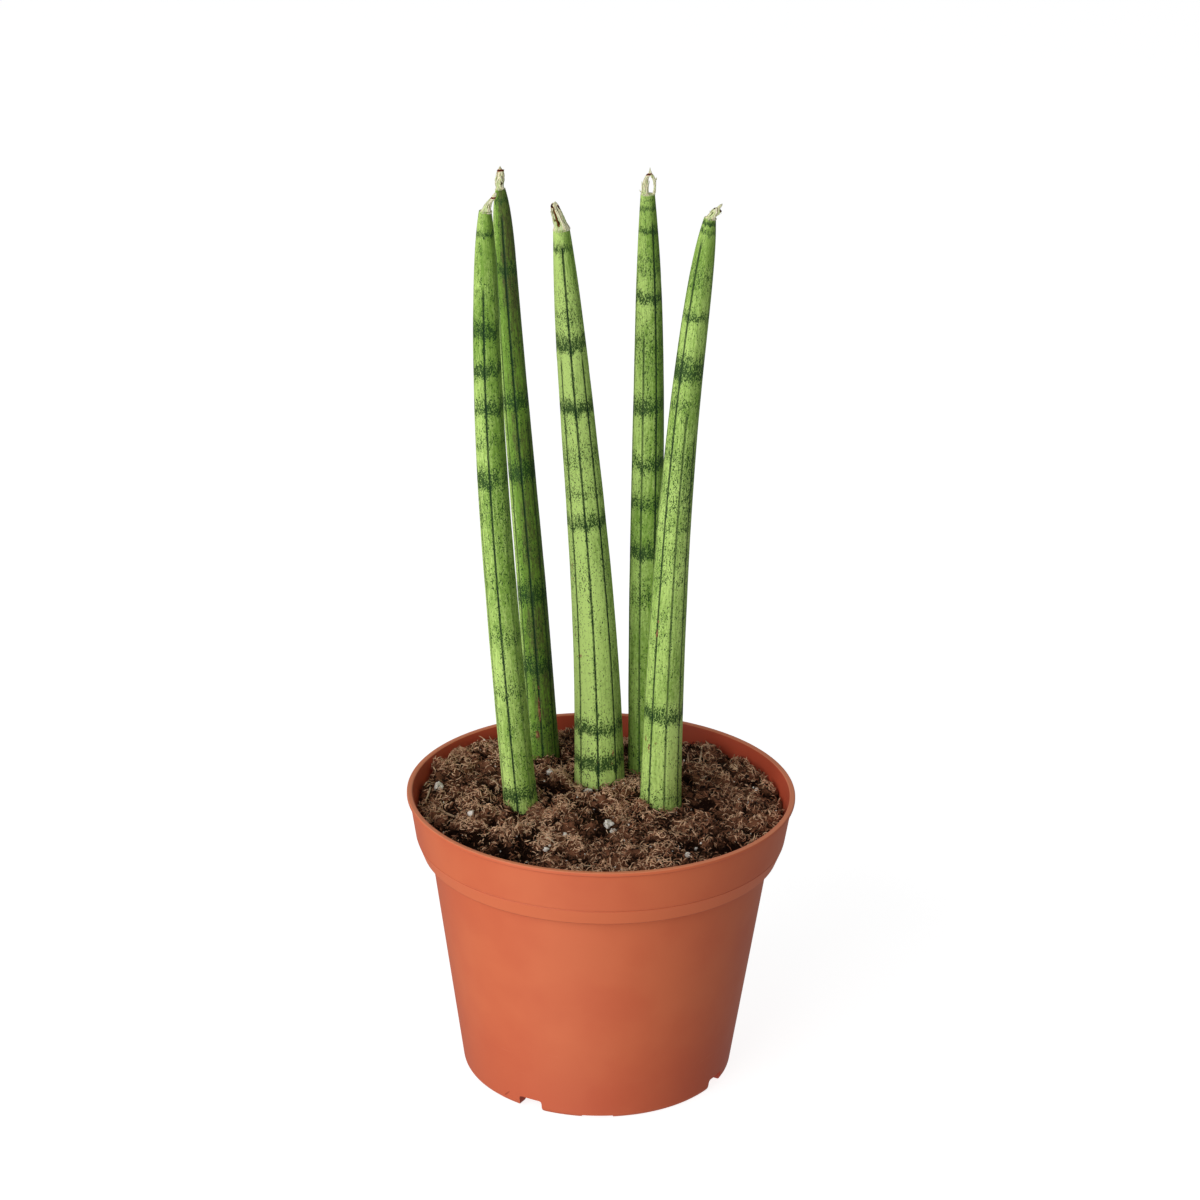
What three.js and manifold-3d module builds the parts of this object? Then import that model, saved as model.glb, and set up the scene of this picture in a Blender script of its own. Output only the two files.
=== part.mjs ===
// A potted cylindrical snake plant: five round, tapering leaves standing in peat in a moulded plastic
// nursery pot. Millimetres, +Z up. The origin is the centre of the pot's foot, on the table, and the
// front of the pot faces -Y.

import * as THREE from "three";
import { mergeVertices } from "three/addons/utils/BufferGeometryUtils.js";
import Module from "manifold-3d";

const wasm = await Module();
wasm.setup();

// ---------------------------------------------------------------------------------------------
// Driving dimensions
// ---------------------------------------------------------------------------------------------

const CLEARANCE = 0.3; // air left between two pieces that touch
const WELD = 1e-4; // distance under which two vertices are one

// The pot is a straight cone with a wider stepped collar and a thin rolled lip.
const WALL = 1.2;
const POT_SIDES = 80;
const BASE_RADIUS = 41.9; // of the body's cone, on the table
const BODY_FLARE = 0.146; // radius gained for each millimetre of height
const FOOT = { outerRadius: 39.9, innerRadius: 38.4, rounding: 2.1 };
const FLOOR = { underside: 3.3, top: 4.5 };
const LEDGE_HEIGHT = 73.2; // underside of the collar
const COLLAR_EDGE = { radius: 55.3, height: 73.6 };
const CREASE = { radius: 57.2, height: 78.4 }; // where the collar's slope meets its upright wall
const LIP_FOOT = { radius: 59.2, height: 91.0 };
const LIP = { radius: 60, innerRadius: 58.3, top: 92.3, bead: 0.6 };

// Notches and shallow reliefs round the foot, and holes in the floor, let water out.
const DRAIN_COUNT = 4;
const NOTCH = { width: 7.8, height: 4.0, corner: 1.0, flare: 1.7, bearing: -28.7 };
const RELIEF = { width: 9.6, height: 1.0, corner: 0.3, flare: 0.4, bearing: 0.7 };
const FOOT_CUT_DEPTH = 12; // how far a notch's cutter reaches through the foot ring
const DRAIN_HOLE = { radius: 3.2, pitchRadius: 33, sides: 16 };

// Peat fills the pot to just under its lip and is heaped a little towards the leaves.
const SOIL = { wallHeight: 84.6, mound: 2.4, rings: 18, sides: 64 };
const HEAPS = [
  { x: -50, y: 24, radius: 9, rise: 4.4 },
  { x: -42, y: 37, radius: 10, rise: 4.6 },
  { x: -31, y: 43, radius: 9, rise: 3.8 },
  { x: -53, y: 10, radius: 6, rise: 2.4 },
  { x: -9, y: 51, radius: 12, rise: 3.2 },
  { x: 33, y: 40, radius: 12, rise: 2.8 },
  { x: 45, y: 27, radius: 11, rise: 2.8 },
  { x: 52, y: 14, radius: 7, rise: 1.8 },
];
const CLOD_SEED = 11;
const CLOD_COUNT = 70;
const CLOD_RADIUS = { min: 3.5, max: 8.5 };
const CLOD_RISE = { min: 0.8, max: 2.4 };

// Each leaf stands on its foot, leans to its crown, and ends in a dried, pleated tip. Its axis is
// pushed to the right by bow at half height, and by sway to the right a quarter of the way up and to the
// left three quarters up. Radii are taken at the foot and, before the last rounding-in, at the crown;
// belly is what is added to the straight taper two thirds of the way up. Bearings are in degrees from the
// front towards +X.
const FOOT_HEIGHT = 86.5; // soil level round the leaves
const LEAVES = [
  {
    name: "leaf_left_front",
    foot: [-24.8, 1],
    crown: [-36.3, -7.5, 278.6],
    bow: -2.5,
    sway: 0.28,
    belly: 0.73,
    footRadius: 5.35,
    crownRadius: 2.9,
    roundingIn: { share: 0.37, power: 22 },
    grooves: { count: 7, bearing: -8.5 },
    tip: { rise: 5.5, lean: [2.8, 0.4], twist: 35 },
  },
  {
    name: "leaf_left_back",
    foot: [-18.5, 39.5],
    crown: [-33.45, 47.5, 269],
    bow: -0.05,
    sway: 0.3,
    belly: 0.2,
    footRadius: 5.1,
    crownRadius: 3.1,
    roundingIn: { share: 0.43, power: 24 },
    grooves: { count: 7, bearing: 0 },
    tip: { rise: 8.3, lean: [-0.4, -0.6], twist: -25 },
  },
  {
    name: "leaf_centre",
    foot: [-0.5, 20],
    crown: [-14.55, 20, 265.6],
    bow: 1.5,
    sway: 0.44,
    belly: 0,
    footRadius: 7.9,
    crownRadius: 3.95,
    roundingIn: { share: 0.37, power: 9 },
    grooves: { count: 8, bearing: -2 },
    tip: { rise: 8.5, lean: [-1.8, 0.5], twist: 20 },
  },
  {
    name: "leaf_right_back",
    foot: [14, 29],
    crown: [11.1, 33.5, 271.9],
    bow: 0.25,
    sway: -0.33,
    belly: -0.1,
    footRadius: 5.6,
    crownRadius: 4.8,
    roundingIn: { share: 0.55, power: 6 },
    grooves: { count: 7, bearing: 30 },
    tip: { rise: 9.4, lean: [0.3, -0.4], twist: -15 },
  },
  {
    name: "leaf_right_front",
    foot: [18.5, 3],
    crown: [28.7, -7, 276.7],
    bow: -2.95,
    sway: 0.22,
    belly: 0.08,
    footRadius: 6.5,
    crownRadius: 3.5,
    roundingIn: { share: 0.51, power: 18 },
    grooves: { count: 8, bearing: 9 },
    tip: { rise: 4.9, lean: [3.5, 0.2], twist: 40 },
  },
];
const BURIED_LENGTH = 32; // of each leaf, below soil level
const POINTS_PER_RIB = 3; // one in the groove and two on the rib's face
const GROOVE_DEPTH = 0.3;
const GROOVE_START = 0.9; // share of the leaf's height at which the grooves fade out
const LEAF_RINGS = 17;
const HOLE_SIDES = 20;
const TIP_PLEATS = 4;

// Stations up the dried tip: share of its height, share of the crown's radius, and depth of the pleats.
const TIP_STATIONS = [
  { height: 0.1, width: 0.97, pleat: 0.05 },
  { height: 0.35, width: 0.88, pleat: 0.12 },
  { height: 0.6, width: 0.72, pleat: 0.2 },
  { height: 0.82, width: 0.48, pleat: 0.26 },
  { height: 1.0, width: 0.16, pleat: 0.2 },
];

// Stations of the blunt, rounded end under the soil: share of the radius and distance from the end.
const ROOT_STATIONS = [
  { width: 0.45, height: 0 },
  { width: 0.85, height: 1.2 },
  { width: 1.0, height: 3.5 },
];

// The largest perlite grains, half sunk in the peat.
const PERLITE_SEED = 5;
const PERLITE_ROUGHNESS = 0.16; // how far a grain's corners stray, as a share of its radius
const PERLITE_GRAINS = [
  { place: [2.1, -15.6], radius: 1.5 },
  { place: [3.9, -19.4], radius: 0.85 },
  { place: [-10.8, -21.4], radius: 0.8 },
  { place: [-16.3, -35.0], radius: 0.85 },
  { place: [-50.6, 11.0], radius: 1.5 },
  { place: [26.4, -36.9], radius: 1.0 },
  { place: [-4.3, 9.4], radius: 1.15 },
];

const MATERIALS = {
  pot: new THREE.MeshStandardMaterial({ color: 0xcf6747, roughness: 0.5, metalness: 0 }),
  soil: new THREE.MeshStandardMaterial({ color: 0x5b4436, roughness: 0.95, metalness: 0 }),
  leaf: new THREE.MeshStandardMaterial({ color: 0x8cb552, roughness: 0.45, metalness: 0 }),
  perlite: new THREE.MeshStandardMaterial({ color: 0xe9e5de, roughness: 0.9, metalness: 0 }),
};

// ---------------------------------------------------------------------------------------------
// Solids
// ---------------------------------------------------------------------------------------------

const radians = THREE.MathUtils.degToRad;
const lerp = THREE.MathUtils.lerp;

// A repeatable stream of draws between 0 and 1.
function seededDraws(seed) {
  let state = seed;
  return () => {
    state = (state + 0x6d2b79f5) | 0;
    let mixed = Math.imul(state ^ (state >>> 15), 1 | state);
    mixed = (mixed + Math.imul(mixed ^ (mixed >>> 7), 61 | mixed)) ^ mixed;
    return ((mixed ^ (mixed >>> 14)) >>> 0) / 2 ** 32;
  };
}

// Keeps positions only, shares the vertices that coincide and drops the faces that this empties.
function weld(geometry) {
  geometry.deleteAttribute("normal");
  geometry.deleteAttribute("uv");
  const welded = mergeVertices(geometry, WELD);
  const corners = welded.index.array;
  const kept = [];
  for (let i = 0; i < corners.length; i += 3) {
    const [a, b, c] = [corners[i], corners[i + 1], corners[i + 2]];
    if (a !== b && b !== c && c !== a) kept.push(a, b, c);
  }
  welded.setIndex(kept);
  return welded;
}

function toSolid(geometry) {
  const welded = weld(geometry);
  const vertProperties = new Float32Array(welded.attributes.position.array);
  const triVerts = new Uint32Array(welded.index.array);
  return new wasm.Manifold(new wasm.Mesh({ numProp: 3, vertProperties, triVerts }));
}

function toGeometry(solid) {
  const mesh = solid.getMesh();
  const geometry = new THREE.BufferGeometry();
  geometry.setAttribute("position", new THREE.BufferAttribute(mesh.vertProperties, 3));
  geometry.setIndex(new THREE.BufferAttribute(mesh.triVerts, 1));
  return geometry;
}

// Turns a closed outline of [radius, height] points about +Z.
function lathe(outline, sides) {
  const points = outline.map(([radius, height]) => new THREE.Vector2(radius, height));
  return new THREE.LatheGeometry(points, sides).rotateX(Math.PI / 2);
}

// Skins a stack of rings, each with the same number of points, and closes both ends.
function loft(rings) {
  const size = rings[0].length;
  const positions = rings.flat().flatMap((point) => point.toArray());
  const faces = [];
  for (let level = 0; level + 1 < rings.length; level += 1) {
    for (let i = 0; i < size; i += 1) {
      const a = level * size + i;
      const b = level * size + ((i + 1) % size);
      faces.push(a, b, b + size, a, b + size, a + size);
    }
  }
  const closeEnd = (ring, start, upwards) => {
    const centre = ring.reduce((sum, point) => sum.add(point), new THREE.Vector3());
    centre.divideScalar(size);
    const hub = positions.length / 3;
    positions.push(...centre.toArray());
    for (let i = 0; i < size; i += 1) {
      const a = start + i;
      const b = start + ((i + 1) % size);
      faces.push(hub, upwards ? a : b, upwards ? b : a);
    }
  };
  closeEnd(rings[0], 0, false);
  closeEnd(rings.at(-1), (rings.length - 1) * size, true);
  const geometry = new THREE.BufferGeometry();
  geometry.setAttribute("position", new THREE.Float32BufferAttribute(positions, 3));
  geometry.setIndex(faces);
  return geometry;
}

// ---------------------------------------------------------------------------------------------
// Pot
// ---------------------------------------------------------------------------------------------

const bodyRadius = (height) => BASE_RADIUS + BODY_FLARE * height;

// The pot's inner face from the floor to the lip, drawn in by a clearance.
function innerFace(clearance) {
  const inset = WALL + clearance;
  const floor = FLOOR.top + clearance;
  const ledge = LEDGE_HEIGHT + inset;
  return [
    [bodyRadius(floor) - inset, floor],
    [bodyRadius(ledge) - inset, ledge],
    [COLLAR_EDGE.radius - inset, ledge + (COLLAR_EDGE.height - LEDGE_HEIGHT)],
    [CREASE.radius - inset, CREASE.height],
    [LIP_FOOT.radius - inset, LIP_FOOT.height],
  ];
}

function potOutline() {
  const footArc = [0.35, 0.7, 1].map((share) => {
    const turn = (share * Math.PI) / 2;
    const reach = bodyRadius(FOOT.rounding) - FOOT.outerRadius;
    return [FOOT.outerRadius + reach * Math.sin(turn), FOOT.rounding * (1 - Math.cos(turn))];
  });
  const beadMiddle = LIP.top - LIP.bead;
  const lip = [
    [LIP.radius - 0.15, LIP_FOOT.height + 0.25],
    [LIP.radius, beadMiddle - 0.2],
    [LIP.radius, beadMiddle + 0.2],
    [LIP.radius - 0.3, LIP.top],
    [LIP.innerRadius + 0.4, LIP.top],
    [LIP.innerRadius, beadMiddle + 0.2],
  ];
  return [
    [0, FLOOR.underside],
    [FOOT.innerRadius - 0.5, FLOOR.underside],
    [FOOT.innerRadius, 0],
    [FOOT.outerRadius, 0],
    ...footArc,
    [bodyRadius(LEDGE_HEIGHT), LEDGE_HEIGHT],
    [COLLAR_EDGE.radius - 0.3, LEDGE_HEIGHT],
    [COLLAR_EDGE.radius, COLLAR_EDGE.height],
    [CREASE.radius, CREASE.height],
    [LIP_FOOT.radius, LIP_FOOT.height],
    ...lip,
    ...innerFace(0).reverse(),
    [0, FLOOR.top],
  ];
}

// A bar with a round-cornered section that flares at the table and points out of the foot.
function footCutter({ width, height, corner, flare }, bearing) {
  const half = width / 2;
  const section = new THREE.Shape();
  section.moveTo(-half - flare, -height);
  section.lineTo(half + flare, -height);
  section.lineTo(half + flare, 0);
  section.quadraticCurveTo(half, 0, half, flare);
  section.lineTo(half, height - corner);
  section.quadraticCurveTo(half, height, half - corner, height);
  section.lineTo(corner - half, height);
  section.quadraticCurveTo(-half, height, -half, height - corner);
  section.lineTo(-half, flare);
  section.quadraticCurveTo(-half, 0, -half - flare, 0);
  const bar = new THREE.ExtrudeGeometry(section, { depth: FOOT_CUT_DEPTH, bevelEnabled: false, curveSegments: 3 });
  bar.rotateX(Math.PI / 2);
  bar.translate(0, FOOT_CUT_DEPTH / 2 - FOOT.outerRadius, 0);
  bar.rotateZ(radians(bearing));
  return toSolid(bar);
}

function drainHoleCutter(bearing) {
  const depth = FLOOR.top + 1;
  const plug = new THREE.CylinderGeometry(DRAIN_HOLE.radius, DRAIN_HOLE.radius, depth, DRAIN_HOLE.sides);
  plug.rotateX(Math.PI / 2);
  plug.translate(0, -DRAIN_HOLE.pitchRadius, FLOOR.top);
  plug.rotateZ(radians(bearing));
  return toSolid(plug);
}

function buildPot() {
  let pot = toSolid(lathe(potOutline(), POT_SIDES));
  const spacing = 360 / DRAIN_COUNT;
  for (let i = 0; i < DRAIN_COUNT; i += 1) {
    pot = pot.subtract(footCutter(NOTCH, NOTCH.bearing + i * spacing));
    pot = pot.subtract(footCutter(RELIEF, RELIEF.bearing + i * spacing));
    pot = pot.subtract(drainHoleCutter(NOTCH.bearing + i * spacing));
    pot = pot.subtract(drainHoleCutter(NOTCH.bearing + (i + 0.5) * spacing));
  }
  return toGeometry(pot);
}

// ---------------------------------------------------------------------------------------------
// Leaves
// ---------------------------------------------------------------------------------------------

// A point on a leaf's axis: 0 is its foot at soil level, 1 is its crown, and less than 0 is buried.
function axisPoint(leaf, share) {
  const sideways = leaf.bow * 4 * share * (1 - share) + leaf.sway * Math.sin(2 * Math.PI * share);
  return new THREE.Vector3(
    lerp(leaf.foot[0], leaf.crown[0], share) + sideways,
    lerp(leaf.foot[1], leaf.crown[1], share),
    lerp(FOOT_HEIGHT, leaf.crown[2], share),
  );
}

function leafRadius(leaf, share) {
  const above = Math.max(share, 0);
  const belly = leaf.belly * 6.75 * above ** 2 * (1 - above);
  const taper = lerp(leaf.footRadius, leaf.crownRadius, above) + belly;
  return taper * (1 - leaf.roundingIn.share * above ** leaf.roundingIn.power);
}

// A ring square to the axis. widthAt gives the radius on each bearing, in radians from the front.
function ringAround(leaf, share, centre, points, firstBearing, widthAt) {
  const step = 0.01;
  const along = axisPoint(leaf, share + step).sub(axisPoint(leaf, share - step)).normalize();
  const side = new THREE.Vector3(1, 0, 0).addScaledVector(along, -along.x).normalize();
  const back = along.clone().cross(side);
  return Array.from({ length: points }, (_, i) => {
    const bearing = firstBearing + (i / points) * 2 * Math.PI;
    const width = widthAt(bearing, i);
    const point = centre.clone().addScaledVector(side, width * Math.sin(bearing));
    return point.addScaledVector(back, -width * Math.cos(bearing));
  });
}

// The leaf's green part: ribs with a shallow groove between each pair.
function ribbedRing(leaf, share, radius) {
  const fade = THREE.MathUtils.clamp((1 - share) / (1 - GROOVE_START), 0, 1);
  const depth = GROOVE_DEPTH * fade * Math.min(1, radius / leaf.footRadius);
  const points = leaf.grooves.count * POINTS_PER_RIB;
  const widthAt = (_, i) => (i % POINTS_PER_RIB === 0 ? radius - depth : radius);
  return ringAround(leaf, share, axisPoint(leaf, share), points, radians(leaf.grooves.bearing), widthAt);
}

// The dried tip: the same ring, shrunk, pleated, and carried off the axis as the tip leans.
function tipRing(leaf, station) {
  const points = leaf.grooves.count * POINTS_PER_RIB;
  const radius = leafRadius(leaf, 1) * station.width;
  const twist = radians(leaf.tip.twist) * station.height;
  const centre = axisPoint(leaf, 1);
  centre.x += leaf.tip.lean[0] * station.height ** 1.4;
  centre.y += leaf.tip.lean[1] * station.height ** 1.4;
  centre.z += leaf.tip.rise * station.height;
  const widthAt = (bearing) => radius * (1 + station.pleat * Math.cos(TIP_PLEATS * (bearing + twist)));
  return ringAround(leaf, 1, centre, points, radians(leaf.grooves.bearing), widthAt);
}

const buriedShare = (leaf, depth) => -depth / (leaf.crown[2] - FOOT_HEIGHT);

function buildLeaf(leaf) {
  const roots = ROOT_STATIONS.map((station) => {
    const share = buriedShare(leaf, BURIED_LENGTH - station.height);
    return ribbedRing(leaf, share, leaf.footRadius * station.width);
  });
  // Rings close up towards the crown, where the leaf rounds in.
  const green = Array.from({ length: LEAF_RINGS }, (_, i) => {
    const share = Math.sin(((i / (LEAF_RINGS - 1)) * Math.PI) / 2);
    return ribbedRing(leaf, share, leafRadius(leaf, share));
  });
  const tip = TIP_STATIONS.map((station) => tipRing(leaf, station));
  return weld(loft([...roots, ...green, ...tip]));
}

// The plain round hole that a leaf stands in: its buried part grown by the clearance, and open above.
function leafHole(leaf) {
  const growth = 1 / Math.cos(Math.PI / HOLE_SIDES);
  const depths = [BURIED_LENGTH + CLEARANCE, BURIED_LENGTH - ROOT_STATIONS[1].height, 16, 0, -8];
  const rings = depths.map((depth, i) => {
    const share = buriedShare(leaf, depth);
    const shrink = i === 0 ? 0.7 : 1;
    const radius = (leafRadius(leaf, share) * shrink + CLEARANCE) * growth;
    return ringAround(leaf, share, axisPoint(leaf, share), HOLE_SIDES, 0, () => radius);
  });
  return toSolid(loft(rings));
}

// ---------------------------------------------------------------------------------------------
// Soil
// ---------------------------------------------------------------------------------------------

function drawClods() {
  const draw = seededDraws(CLOD_SEED);
  const reach = COLLAR_EDGE.radius - WALL;
  return Array.from({ length: CLOD_COUNT }, () => {
    const distance = reach * Math.sqrt(draw());
    const bearing = 2 * Math.PI * draw();
    const radius = lerp(CLOD_RADIUS.min, CLOD_RADIUS.max, draw());
    const rise = lerp(CLOD_RISE.min, CLOD_RISE.max, draw());
    return { x: distance * Math.cos(bearing), y: distance * Math.sin(bearing), radius, rise };
  });
}

const CLODS = [...HEAPS, ...drawClods()];

// Height of the peat: a low mound, with the tallest clod at each place standing out of it.
function soilHeight(x, y) {
  const outward = Math.min(1, Math.hypot(x, y) / CREASE.radius);
  const mound = SOIL.wallHeight + SOIL.mound * (1 - outward ** 2);
  const rises = CLODS.map((clod) => {
    const away = Math.hypot(x - clod.x, y - clod.y) / clod.radius;
    return away < 1 ? clod.rise * Math.sqrt(1 - away ** 2) : 0;
  });
  return mound + Math.max(...rises);
}

function soilOutline() {
  const face = innerFace(CLEARANCE);
  const [crease, lip] = face.slice(-2);
  const climb = (SOIL.wallHeight - crease[1]) / (lip[1] - crease[1]);
  const edgeRadius = lerp(crease[0], lip[0], climb);
  const top = Array.from({ length: SOIL.rings + 1 }, (_, i) => [
    edgeRadius * (1 - i / SOIL.rings),
    SOIL.wallHeight,
  ]);
  return [[0, FLOOR.top + CLEARANCE], ...face.slice(0, -1), ...top];
}

function buildSoil(cutters) {
  const heap = lathe(soilOutline(), SOIL.sides);
  const place = heap.attributes.position;
  for (let i = 0; i < place.count; i += 1) {
    const isTop = Math.abs(place.getZ(i) - SOIL.wallHeight) < WELD;
    if (isTop) place.setZ(i, soilHeight(place.getX(i), place.getY(i)));
  }
  return toGeometry(cutters.reduce((soil, cutter) => soil.subtract(cutter), toSolid(heap)));
}

// ---------------------------------------------------------------------------------------------
// Perlite
// ---------------------------------------------------------------------------------------------

// An angular grain: a coarse ball whose corners are drawn in and out.
function buildGrain({ radius }, draw) {
  const ball = weld(new THREE.IcosahedronGeometry(radius, 1));
  const corners = ball.attributes.position;
  const corner = new THREE.Vector3();
  for (let i = 0; i < corners.count; i += 1) {
    corner.fromBufferAttribute(corners, i).multiplyScalar(1 + PERLITE_ROUGHNESS * (2 * draw() - 1));
    corners.setXYZ(i, ...corner.toArray());
  }
  return ball;
}

const grainCentre = ({ place: [x, y] }) => [x, y, soilHeight(x, y)];

// The pocket that a grain lies in: a plain ball a clearance larger than its furthest corner.
function grainPocket(grain) {
  const reach = grain.radius * (1 + PERLITE_ROUGHNESS) + CLEARANCE;
  return toSolid(new THREE.IcosahedronGeometry(reach * 1.08, 1).translate(...grainCentre(grain)));
}

// ---------------------------------------------------------------------------------------------
// Assembly
// ---------------------------------------------------------------------------------------------

const plant = new THREE.Group();

function addPiece(name, geometry, material) {
  geometry.computeVertexNormals();
  const piece = new THREE.Mesh(geometry, material);
  piece.name = name;
  plant.add(piece);
  return piece;
}

addPiece("pot", buildPot(), MATERIALS.pot);
addPiece("soil", buildSoil([...LEAVES.map(leafHole), ...PERLITE_GRAINS.map(grainPocket)]), MATERIALS.soil);
for (const leaf of LEAVES) addPiece(leaf.name, buildLeaf(leaf), MATERIALS.leaf);

const grainDraw = seededDraws(PERLITE_SEED);
PERLITE_GRAINS.forEach((grain, i) => {
  const piece = addPiece(`perlite_${i + 1}`, buildGrain(grain, grainDraw), MATERIALS.perlite);
  piece.position.set(...grainCentre(grain));
});

export default plant;
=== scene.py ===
"""Looks of a potted cylindrical snake plant: five banded leaves in peat, in a plastic nursery pot.

Blender works in metres. Tables of sizes are written in millimetres and turned into metres by MM. The
front of the plant faces -Y, and bearings are in degrees from the front towards +X.
"""

import logging
import math
from collections.abc import Iterator, Sequence
from dataclasses import dataclass, field
from enum import Enum
from typing import Any

import bmesh
import bpy
import numpy as np
from mathutils import Euler, Matrix, Vector


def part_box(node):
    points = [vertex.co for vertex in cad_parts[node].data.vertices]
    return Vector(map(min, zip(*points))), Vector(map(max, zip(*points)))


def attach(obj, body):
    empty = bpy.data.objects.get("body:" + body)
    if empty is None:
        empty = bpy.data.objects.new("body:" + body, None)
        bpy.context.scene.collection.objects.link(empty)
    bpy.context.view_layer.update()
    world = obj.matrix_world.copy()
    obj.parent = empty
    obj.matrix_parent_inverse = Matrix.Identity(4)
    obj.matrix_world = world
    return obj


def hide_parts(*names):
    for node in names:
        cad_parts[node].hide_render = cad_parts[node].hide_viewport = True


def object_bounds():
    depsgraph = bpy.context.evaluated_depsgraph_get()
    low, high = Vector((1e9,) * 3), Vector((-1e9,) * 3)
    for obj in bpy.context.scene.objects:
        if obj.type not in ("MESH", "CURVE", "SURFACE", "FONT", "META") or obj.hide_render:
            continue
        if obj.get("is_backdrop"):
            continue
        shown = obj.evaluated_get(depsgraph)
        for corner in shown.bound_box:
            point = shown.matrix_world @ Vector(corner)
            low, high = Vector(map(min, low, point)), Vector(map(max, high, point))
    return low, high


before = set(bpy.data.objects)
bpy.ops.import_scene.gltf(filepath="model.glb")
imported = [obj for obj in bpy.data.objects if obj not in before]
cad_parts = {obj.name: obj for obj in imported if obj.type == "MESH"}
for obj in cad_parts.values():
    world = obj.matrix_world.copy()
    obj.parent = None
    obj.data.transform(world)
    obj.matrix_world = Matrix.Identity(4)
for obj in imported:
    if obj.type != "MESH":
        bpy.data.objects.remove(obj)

log = logging.getLogger("snake_plant")

MM = 0.001
BODY = "root"
TURN = 2 * math.pi

Array = np.ndarray
Draws = np.random.Generator
Material = bpy.types.Material
Object = bpy.types.Object
Socket = bpy.types.NodeSocket
Pair = tuple[float, float]
Triple = tuple[float, float, float]
Four = tuple[float, float, float, float]
Colour = Triple


class Slot(Enum):
    """The record's material slots."""

    POT = "pot_plastic"
    PEAT = "peat"
    LEAF = "leaf"
    PERLITE = "perlite"


# ---- Meshes ----


class Noise:
    """Smooth seeded noise between -1 and 1 on a lattice of random values that repeats."""

    LATTICE = 32

    def __init__(self, seed: int) -> None:
        """Draws the lattice's values, which the seed chooses."""
        self.values = np.random.default_rng(seed).uniform(-1, 1, (self.LATTICE,) * 3)

    def at(self, points: Array, cell: float) -> Array:
        """Reads the noise at some points.

        Args:
            points: an array whose last axis is x, y and z.
            cell: the lattice's spacing, in the points' unit.

        Returns:
            One value for each point.
        """
        scaled = points / cell
        corner = np.floor(scaled).astype(int)
        share = scaled - corner
        share = share * share * (3 - 2 * share)
        total = np.zeros(points.shape[:-1])
        for step in np.ndindex(2, 2, 2):
            weight = np.prod(np.where(np.array(step) == 1, share, 1 - share), axis=-1)
            x, y, z = np.moveaxis((corner + step) % self.LATTICE, -1, 0)
            total += weight * self.values[x, y, z]
        return total

    def layered(self, points: Array, cell: float, layers: int) -> Array:
        """Layers of the noise added up, each half as coarse and half as strong as the last."""
        return sum(self.at(points + 7.7 * cell * i, cell / 2**i) / 2**i for i in range(layers))


@dataclass
class Shape:
    """A mesh in the making.

    Attributes:
        points: the vertices, one row each.
        faces: arrays of vertex numbers, one for quads and one for triangles, or either alone.
        paints: values on the vertices, by name, with one or three numbers for each vertex.
        map: for each array of faces, the place of each corner on the flat map that is baked.
    """

    points: Array
    faces: list[Array]
    paints: dict[str, Array] = field(default_factory=dict)
    map: list[Array] = field(default_factory=list)

    def to_object(self, name: str, material: Material) -> Object:
        """Makes the Blender object.

        Args:
            name: the object's name.
            material: its one material.

        Returns:
            The object, smooth-shaded and in the scene.
        """
        mesh = bpy.data.meshes.new(name)
        sizes = np.concatenate([np.full(len(faces), faces.shape[1]) for faces in self.faces])
        corners = np.concatenate([faces.ravel() for faces in self.faces])
        mesh.vertices.add(len(self.points))
        mesh.vertices.foreach_set("co", self.points.astype(np.float32).ravel())
        mesh.loops.add(len(corners))
        mesh.loops.foreach_set("vertex_index", corners.astype(np.int32))
        mesh.polygons.add(len(sizes))
        mesh.polygons.foreach_set("loop_start", (np.cumsum(sizes) - sizes).astype(np.int32))
        mesh.update(calc_edges=True)
        for label, values in self.paints.items():
            kind, key = ("FLOAT_VECTOR", "vector") if values.ndim == 2 else ("FLOAT", "value")
            attribute = mesh.attributes.new(label, kind, "POINT")
            attribute.data.foreach_set(key, values.astype(np.float32).ravel())
        if self.map:
            places = np.concatenate([places.reshape(-1, 2) for places in self.map])
            layer = mesh.uv_layers.new(name="OFBake")
            layer.data.foreach_set("uv", places.astype(np.float32).ravel())
        mesh.validate()
        mesh.shade_smooth()
        mesh.materials.append(material)
        made = bpy.data.objects.new(name, mesh)
        bpy.context.scene.collection.objects.link(made)
        return made


def skin(rings: Array) -> Shape:
    """Skins a stack of rings that go round anticlockwise and climb, and closes both ends.

    Args:
        rings: an array of rings by points by coordinates.

    Returns:
        The closed shape. Its last two vertices are the centres of the ends.
    """
    count, size, _ = rings.shape
    level, step = (grid.ravel() for grid in np.indices((count - 1, size)))
    here, after = level * size + step, level * size + (step + 1) % size
    quads = np.stack([here, after, after + size, here + size], 1)
    hub, top = count * size, (count - 1) * size
    first = np.arange(size)
    second = (first + 1) % size
    ends = [
        np.stack([0 * first + hub, second, first], 1),
        np.stack([0 * first + hub + 1, top + first, top + second], 1),
    ]
    points = np.concatenate([rings.reshape(-1, 3), rings[:1].mean(1), rings[-1:].mean(1)])
    # On the map the wall is a sheet, with a row of triangles for each end below and above it.
    margin = 0.04
    lift = (1 - 2 * margin) / (count - 1)
    square = ((0, 0), (1, 0), (1, 1), (0, 1))
    wall = [np.stack([(step + u) / size, margin + lift * (level + v)], 1) for u, v in square]
    caps = []
    for pole, rim, left, right in ((0.0, margin / 2, 1, 0), (1.0, 1 - margin / 2, 0, 1)):
        places = ((0.5, pole), (left, rim), (right, rim))
        caps.append(np.stack([np.stack([(first + u) / size, 0 * first + v], 1) for u, v in places], 1))
    maps = [np.stack(wall, 1), np.concatenate(caps)]
    return Shape(points, [quads, np.concatenate(ends)], map=maps)


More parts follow.
